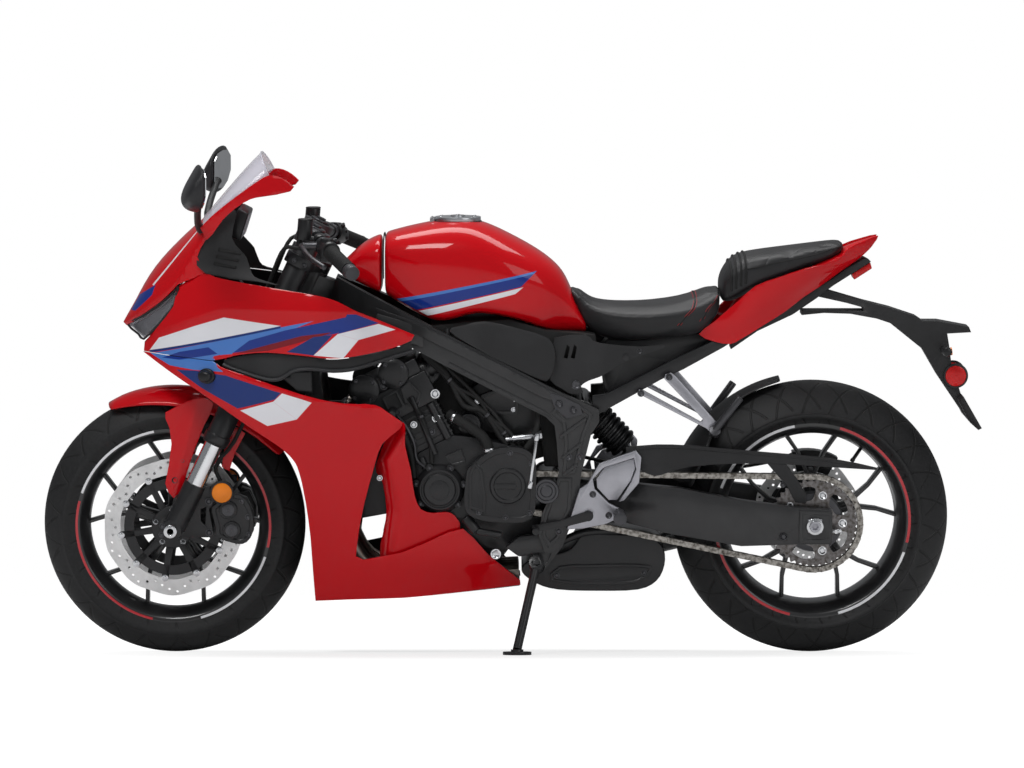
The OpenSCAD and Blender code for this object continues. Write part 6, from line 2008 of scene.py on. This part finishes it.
    def exhaust(self) -> None:
        """Headers, the chamber below the engine and the outlet on the right."""
        dress("exhaust_headers", "heated_steel", 0)
        chamber = smooth_line([(66, 200), (100, 172), (150, 158), (240, 155), (330, 158), (372, 178),
            (390, 214), (388, 252), (366, 276), (330, 284), (262, 287), (206, 286), (176, 252), (130, 238),
            (80, 224)], 3, True)
        body = Shape().prism(chamber, -88, 92, 22, 5).prism(smooth_line([(206, 196), (300, 178), (368, 180),
            (390, 204), (388, 262), (330, 282), (224, 282)], 3, True), 70, 150, 18, 5)
        body.bar((376, 122, 231), (468, 128, 252), 24, 1, 40)
        body.done("silencer_form", "satin_black", replaces=["silencer"])
        pipe = Shape().bar((464, 127.7, 251.1), (469.5, 128.1, 252.4), 20, 0, 32)
        pipe.done("outlet_mouth", "seal")
        rods = Shape().tube(smooth_line([(80, -70, 250), (140, -84, 262), (210, -86, 290), (300, -80, 292)],
            4), 9, 12)
        rods.done("linkage_rods", "satin_black")
        ring = Shape().bar((462, 127.6, 250.8), (471, 128.3, 253.3), 26, 1.5, 32)
        ring.done("outlet_ring", "dark_metal")
        shield = Shape().prism(smooth_line([(132, 178), (240, 170), (326, 174), (356, 196), (358, 214),
            (300, 218), (214, 216), (150, 212)], 2, True), -93, -86, 3, 2, 6, 1.5)
        shield.done("chamber_shield", "satin_black")
        Shape().bolts([(146, 192), (344, 198)], -94, 5, 4).done("shield_bolts", "dark_metal")

    def stand(self) -> None:
        """Side stand and the foot controls."""
        dress("side_stand", "satin_black", 1.2)
        dress("foot_controls", "satin_black", 1.5)

    def build(self) -> None:
        """Builds the frame, the engine and the exhaust."""
        self.spar()
        self.engine()
        self.exhaust()
        self.stand()


@dataclass
class RearEnd:
    """Swingarm, shock absorber, chain, footrests and plate holder."""

    front_centre: Flat = (40.0, 390.0)
    front_radius: float = 38.0
    rear_radius: float = 106.0
    chain_y: float = -106.0
    pitch: float = 15.875

    def swingarm(self) -> None:
        """Swingarm with its adjusters, brake and guard."""
        dress("swingarm", "frame_grey", 3)
        dress("rear_axle", "bright_bolt", 1)
        dress("rear_caliper", "satin_black", 2)
        self.guards()
        end = Shape().prism([(690, 276), (764, 276), (764, 346), (690, 350)], -152, -147, 2.5, 2, 7, 1.5)
        end.pair("axle_blocks", "frame_grey")
        plate = Shape().prism([(709, 299), (741, 299), (741, 330), (709, 330)], -154.5, -150, 1.5)
        plate.lathe((725, 314.2), [(8, -163), (13, -163), (14, -161), (14, -154), (8, -154)], 6)
        plate.pair("axle_plates", "pale_alloy")
        screws = Shape().bar((764, -135, 300), (786, -135, 300), 5, 0.8, 16).bar((770, -135, 300),
            (777, -135, 300), 9, 1, 6)
        screws.pair("chain_adjusters", "bright_bolt")
        Shape().bolts([(655, 290)], -149, 8, 8).pair("stand_bobbins", "dark_metal")
        Shape().bolts([(625, 470), (460, 480), (654, 404)], -126, 5, 4).done("guard_bolts", "dark_metal")
        hose = smooth_line([(700, 136, 440), (640, 132, 420), (520, 138, 402), (400, 132, 410),
            (280, 120, 420), (190, 100, 440)], 5)
        Shape().tube(hose, 4.2, 10).done("rear_brake_hose", "seal")

    def guards(self) -> None:
        """Hugger over the tyre and the chain guard."""
        axle = STANCE.rear_axle
        rows = []
        for k in range(15):
            a = lerp(103, 164, k / 14)
            near = min(1.0, (a - 103) / 9) ** 0.6
            row = []
            for j in range(-8, 9):
                b = j / 8
                slim = soft_step(0, 8, a - 126) / 24 if a < 150 else 1.0
                r = 331 - lerp(5, 44, min(1.0, slim)) * abs(b) ** 2.4
                x, z = polar(axle, r, a)
                row.append((x, lerp(34, 100, min(1.0, slim + 0.12 * near)) * b, z))
            rows.append(row)
        Shape().sheet(rows).done("hugger", "black_plastic", replaces=["rear_hugger"], wall=4, levels=1,
            fix=False)
        top = smooth_line([(300, 490), (370, 496), (440, 494), (520, 487), (600, 480), (760, 465),
            (866, 443)], 2)
        low = smooth_line([(864, 438), (750, 445), (640, 452), (540, 452), (450, 446), (400, 434), (366, 424),
            (330, 440), (304, 466)], 2)
        leg = [(618, 453), (662, 451), (684, 420), (706, 384), (706, 362), (682, 364), (664, 400)]
        guard = Shape().prism(top + low, -128, -122, 1.6).prism(leg, -127, -123, 1.2)
        guard.tube([(x, -128, z - 7) for x, z in top[1:-1]], 1.6, 8)
        guard.done("chain_guard", "black_plastic")
        brace = Shape().prism([(430, 450), (480, 446), (486, 488), (434, 492)], -124, -96, 2)
        brace.done("guard_brace", "black_plastic")

    def shock(self) -> None:
        """Shock absorber with a coil spring around it."""
        dress("shock_absorber", "satin_black", 1)
        top, foot = Vector((205, 0, 575)), Vector((318, 0, 455))
        along = (foot - top).normalized()
        side = along.orthogonal().normalized()
        other = along.cross(side)
        coils, steps, coil_radius, wire_radius = 6, 24, 34, 5
        path = []
        for k in range(coils * steps + 1):
            a = 2 * math.pi * k / steps
            reach = lerp(48, 132, k / (coils * steps))
            path.append(top + along * reach + (math.cos(a) * side + math.sin(a) * other) * coil_radius)
        Shape().tube(path, wire_radius, 10).done("spring", "satin_black")

    def chain(self) -> None:
        """Roller chain with plates and pins around both sprockets."""
        front, rear = self.front_centre, STANCE.rear_axle
        a, b = Vector(front), Vector(rear)
        r0, r1 = self.front_radius, self.rear_radius
        span = (b - a).length
        slope = math.atan2(b.y - a.y, b.x - a.x)
        lean_in = math.asin((r1 - r0) / span)
        run = span * math.cos(lean_in)
        arcs = (math.pi - 2 * lean_in, math.pi + 2 * lean_in)
        total = 2 * run + arcs[0] * r0 + arcs[1] * r1
        count = round(total / self.pitch)
        count += count % 2
        high, low = (slope + way * (math.pi / 2 + lean_in) for way in (1, -1))

        def between(start: Flat, end: Flat, t: float) -> Flat:
            """Point a part t of the way between two points."""
            return tuple(Vector(start).lerp(Vector(end), t))

        def at(s: float) -> Flat:
            """Point at a length along the loop."""
            s %= total
            if s < arcs[0] * r0:
                return polar(front, r0, math.degrees(high + s / r0))
            s -= arcs[0] * r0
            if s < run:
                return between(polar(front, r0, math.degrees(low)), polar(rear, r1, math.degrees(low)),
                    s / run)
            s -= run
            if s < arcs[1] * r1:
                return polar(rear, r1, math.degrees(low + s / r1))
            s -= arcs[1] * r1
            return between(polar(rear, r1, math.degrees(high)), polar(front, r0, math.degrees(high)), s / run)

        outer_plate, inner_plate, plate_half, end_r = 8.4, 5.8, 1.1, 7.2
        roller, pin = (5.0, 4.6, 10), (2.6, 10, 8)
        plates, rollers = Shape(), Shape()
        for k in range(count):
            p, q = Vector(at(total * k / count)), Vector(at(total * (k + 1) / count))
            d = (q - p).normalized()
            n = Vector((-d.y, d.x))
            outline = []
            for centre, way in ((p, -1), (q, 1)):
                for off in (-math.pi / 3, 0, math.pi / 3):
                    outline.append(tuple(centre + way * (d * math.cos(off) * end_r + n * math.sin(off)
                        * end_r)))
            offset = outer_plate if k % 2 else inner_plate
            for way in (-1, 1):
                y = self.chain_y + way * offset
                plates.prism(outline, y - plate_half, y + plate_half)
            for radius, half, sides in (roller, pin):
                rollers.rod(tuple(p), radius, self.chain_y - half, self.chain_y + half, 0, sides)
        plates.done("chain_plates", "chain_metal", Body.CHASSIS, ["chain"])
        rollers.done("chain_rollers", "chain_metal")
        teeth = []
        for k in range(15):
            for part, r in ((-0.28, 32), (-0.1, 35), (0.1, 35), (0.28, 32), (0.5, 29)):
                teeth.append(polar(self.front_centre, r, 24 * (k + part)))
        Shape().prism(teeth, self.chain_y - 3, self.chain_y + 3).done("drive_sprocket", "sprocket_steel")

    def footrests(self) -> None:
        """Silver footrest plates, pegs and pillion brackets."""
        plate = [(196, 398), (182, 352), (168, 306), (205, 308), (255, 318), (290, 334), (290, 352),
            (262, 366), (230, 398), (226, 420), (250, 446), (318, 468), (323, 442), (312, 414), (284, 368),
            (296, 372), (330, 412), (335, 470), (322, 486), (240, 456), (214, 410)]
        Shape().prism(plate, -148, -136.3, 2.2, 2).pair("footrest_plates", "pale_alloy",
            replaces=["footrest_brackets"])
        guard = [(252, 446), (318, 466), (321, 444), (311, 416), (280, 372), (262, 372), (236, 400),
            (234, 420)]
        Shape().prism(guard, -142, -138, 0.8).pair("heel_guards", "pale_alloy")
        vee = [(325, 612), (340, 604), (480, 532), (498, 516), (510, 532), (506, 544), (412, 650), (402, 658),
            (388, 654), (386, 644), (474, 552), (470, 546), (340, 618), (330, 620)]
        Shape().prism(vee, -121, -112.5, 2.2, 2).pair("pillion_brackets", "pale_alloy")
        Shape().bolts([(397, 648), (334, 611)], -122.5, 6, 4).bolts([(190, 330), (226, 386), (262, 338)],
            -149.5, 6, 4).pair("bracket_bolts", "dark_metal")
        pegs = Shape().bar((285, -149, 343), (285, -232, 343), 12, 2, 24)
        for k in range(7):
            y = -160 - 10 * k
            pegs.bar((285, y, 343), (285, y - 5, 343), 13.4, 1, 24)
        pegs.bar((285, -228, 343), (285, -233, 343), 15, 1.5, 24)
        pegs.bar((500, -130, 528), (556, -142, 604), 9, 2, 24).bar((500, -124, 522), (500, -138, 530), 13, 2,
            20)
        pegs.pair("pegs", "dark_metal", replaces=["footpegs"])

    def plate_holder(self) -> None:
        """Plate holder with its blank plate, lamps and reflectors."""
        dress("number_plate_bracket", "black_plastic", 2)
        tail = Shape().prism([(812, 871.3), (854, 898.1), (858, 884), (818, 858)], -30, 30, 2)
        tail.done("tail_lamp", "red_lens", replaces=["rear_lamps"])
        reflectors = Shape().rod((1050, 640), 24, -36, -31, 1.5, 40)
        reflectors.pair("side_reflectors", "red_lens")
        Shape().lathe((1050, 640), [(24, -37), (27.5, -36), (28.5, -30.3), (24, -30.3)],
            40).pair("side_reflector_rims", "black_plastic")
        stalks = Shape().bar((1020, -31, 700), (1021, -84, 702), 7, 1, 20).bar((1021, -78, 702),
            (1022, -120, 704), 12, 4, 24, 10)
        stalks.pair("rear_indicators", "smooth_plastic")
        lens = Shape().bar((1029, -104, 704), (1033, -104, 704.5), 9, 1, 20)
        lens.pair("indicator_lenses", "amber")

    def build(self) -> None:
        """Builds the rear of the bike."""
        self.swingarm()
        self.shock()
        self.chain()
        self.footrests()
        self.plate_holder()


# ---------------------------------------------------------------- studio


@dataclass
class Studio:
    """Camera, lights, pale floor and white surround."""

    distance: float = 9.0
    lens: float = 139.0
    aim: Spot = (0.004, 0.08, 0.61)
    elevation: float = -2.0

    def camera(self) -> None:
        """Camera that looks square at the left side from far off."""
        data = bpy.data.cameras.new("camera")
        data.lens, data.sensor_width = self.lens, 36.0
        data.clip_start, data.clip_end = 0.1, 200.0
        camera = placed("camera", data)
        rise = math.radians(self.elevation)
        back = Vector((0, -math.cos(rise), math.sin(rise)))
        camera.location = Vector(self.aim) + back * self.distance
        camera.rotation_euler = (-back).to_track_quat("-Z", "Y").to_euler()
        bpy.context.scene.camera = camera

    def lamp(self, name: str, place: Spot, size: Flat, power: float) -> None:
        """Soft area light that faces the bike."""
        data = bpy.data.lights.new(name, "AREA")
        data.shape, data.size, data.size_y, data.energy = "RECTANGLE", *size, power
        lamp = placed(name, data)
        lamp.location = place
        lamp.rotation_euler = (Vector((0, 0, 0.5)) - Vector(place)).to_track_quat("-Z", "Y").to_euler()

    def floor(self) -> None:
        """Pale floor under the tyres."""
        bm = bmesh.new()
        bmesh.ops.create_circle(bm, cap_ends=True, segments=96, radius=7)
        floor = placed("floor", mesh_of("floor", bm))
        floor.location.z = -0.0005
        tree = Tree("floor")
        tree.set(Base_Color=(0.8, 0.8, 0.8), Roughness=0.9, Specular_IOR_Level=0.1)
        x, y, _ = tree.axes(tree.node("ShaderNodeTexCoord", output="Object"))
        seen = tree.node("ShaderNodeLightPath", output="Is Camera Ray")
        share = seen * ((x * x * 0.5 + y * y * 2.6).ramp(0.15, 0.75) * 0.38 + 0.62)
        glow = tree.node("ShaderNodeEmission", None, {"Strength": 1.15}, "Emission")
        mix = tree.node("ShaderNodeMixShader", None, [share, Value(tree, tree.shader.outputs[0]), glow])
        out = next(n for n in tree.nodes if n.type == "OUTPUT_MATERIAL")
        tree.feed(out.inputs[0], mix)
        floor.data.materials.append(tree.material)

    def world(self) -> None:
        """Even grey light, white where the camera sees it."""
        world = bpy.data.worlds.new("world")
        bpy.context.scene.world = world
        world.use_nodes = True
        nodes, links = world.node_tree.nodes, world.node_tree.links
        nodes.clear()
        path = nodes.new("ShaderNodeLightPath")
        soft, white = nodes.new("ShaderNodeBackground"), nodes.new("ShaderNodeBackground")
        soft.inputs["Color"].default_value = (0.9, 0.92, 0.95, 1)
        soft.inputs["Strength"].default_value = 0.22
        white.inputs["Color"].default_value = (1, 1, 1, 1)
        mix, out = nodes.new("ShaderNodeMixShader"), nodes.new("ShaderNodeOutputWorld")
        links.new(path.outputs["Is Camera Ray"], mix.inputs[0])
        links.new(soft.outputs[0], mix.inputs[1])
        links.new(white.outputs[0], mix.inputs[2])
        links.new(mix.outputs[0], out.inputs[0])

    def build(self) -> None:
        """Sets the studio up."""
        self.camera()
        self.floor()
        self.world()
        self.lamp("key", (-2.0, -3.6, 4.8), (2.4, 1.6), 150)
        self.lamp("fill", (3.4, -4.0, 2.0), (2.6, 2.2), 34)
        self.lamp("top", (0.3, 0.8, 4.6), (4.5, 1.4), 120)
        bpy.context.scene.view_settings.view_transform = "Standard"


def write_size() -> None:
    """Updates the view layer."""
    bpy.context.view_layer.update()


def main() -> None:
    """Builds and dresses the whole motorcycle."""
    logging.basicConfig(level=logging.WARNING)
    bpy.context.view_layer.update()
    TankAndSeats().build()
    Bodywork().build()
    Wheels().build()
    FrontEnd().build()
    FrameAndEngine().build()
    RearEnd().build()
    write_size()
    Studio().build()


if __name__ == "__main__":
    main()
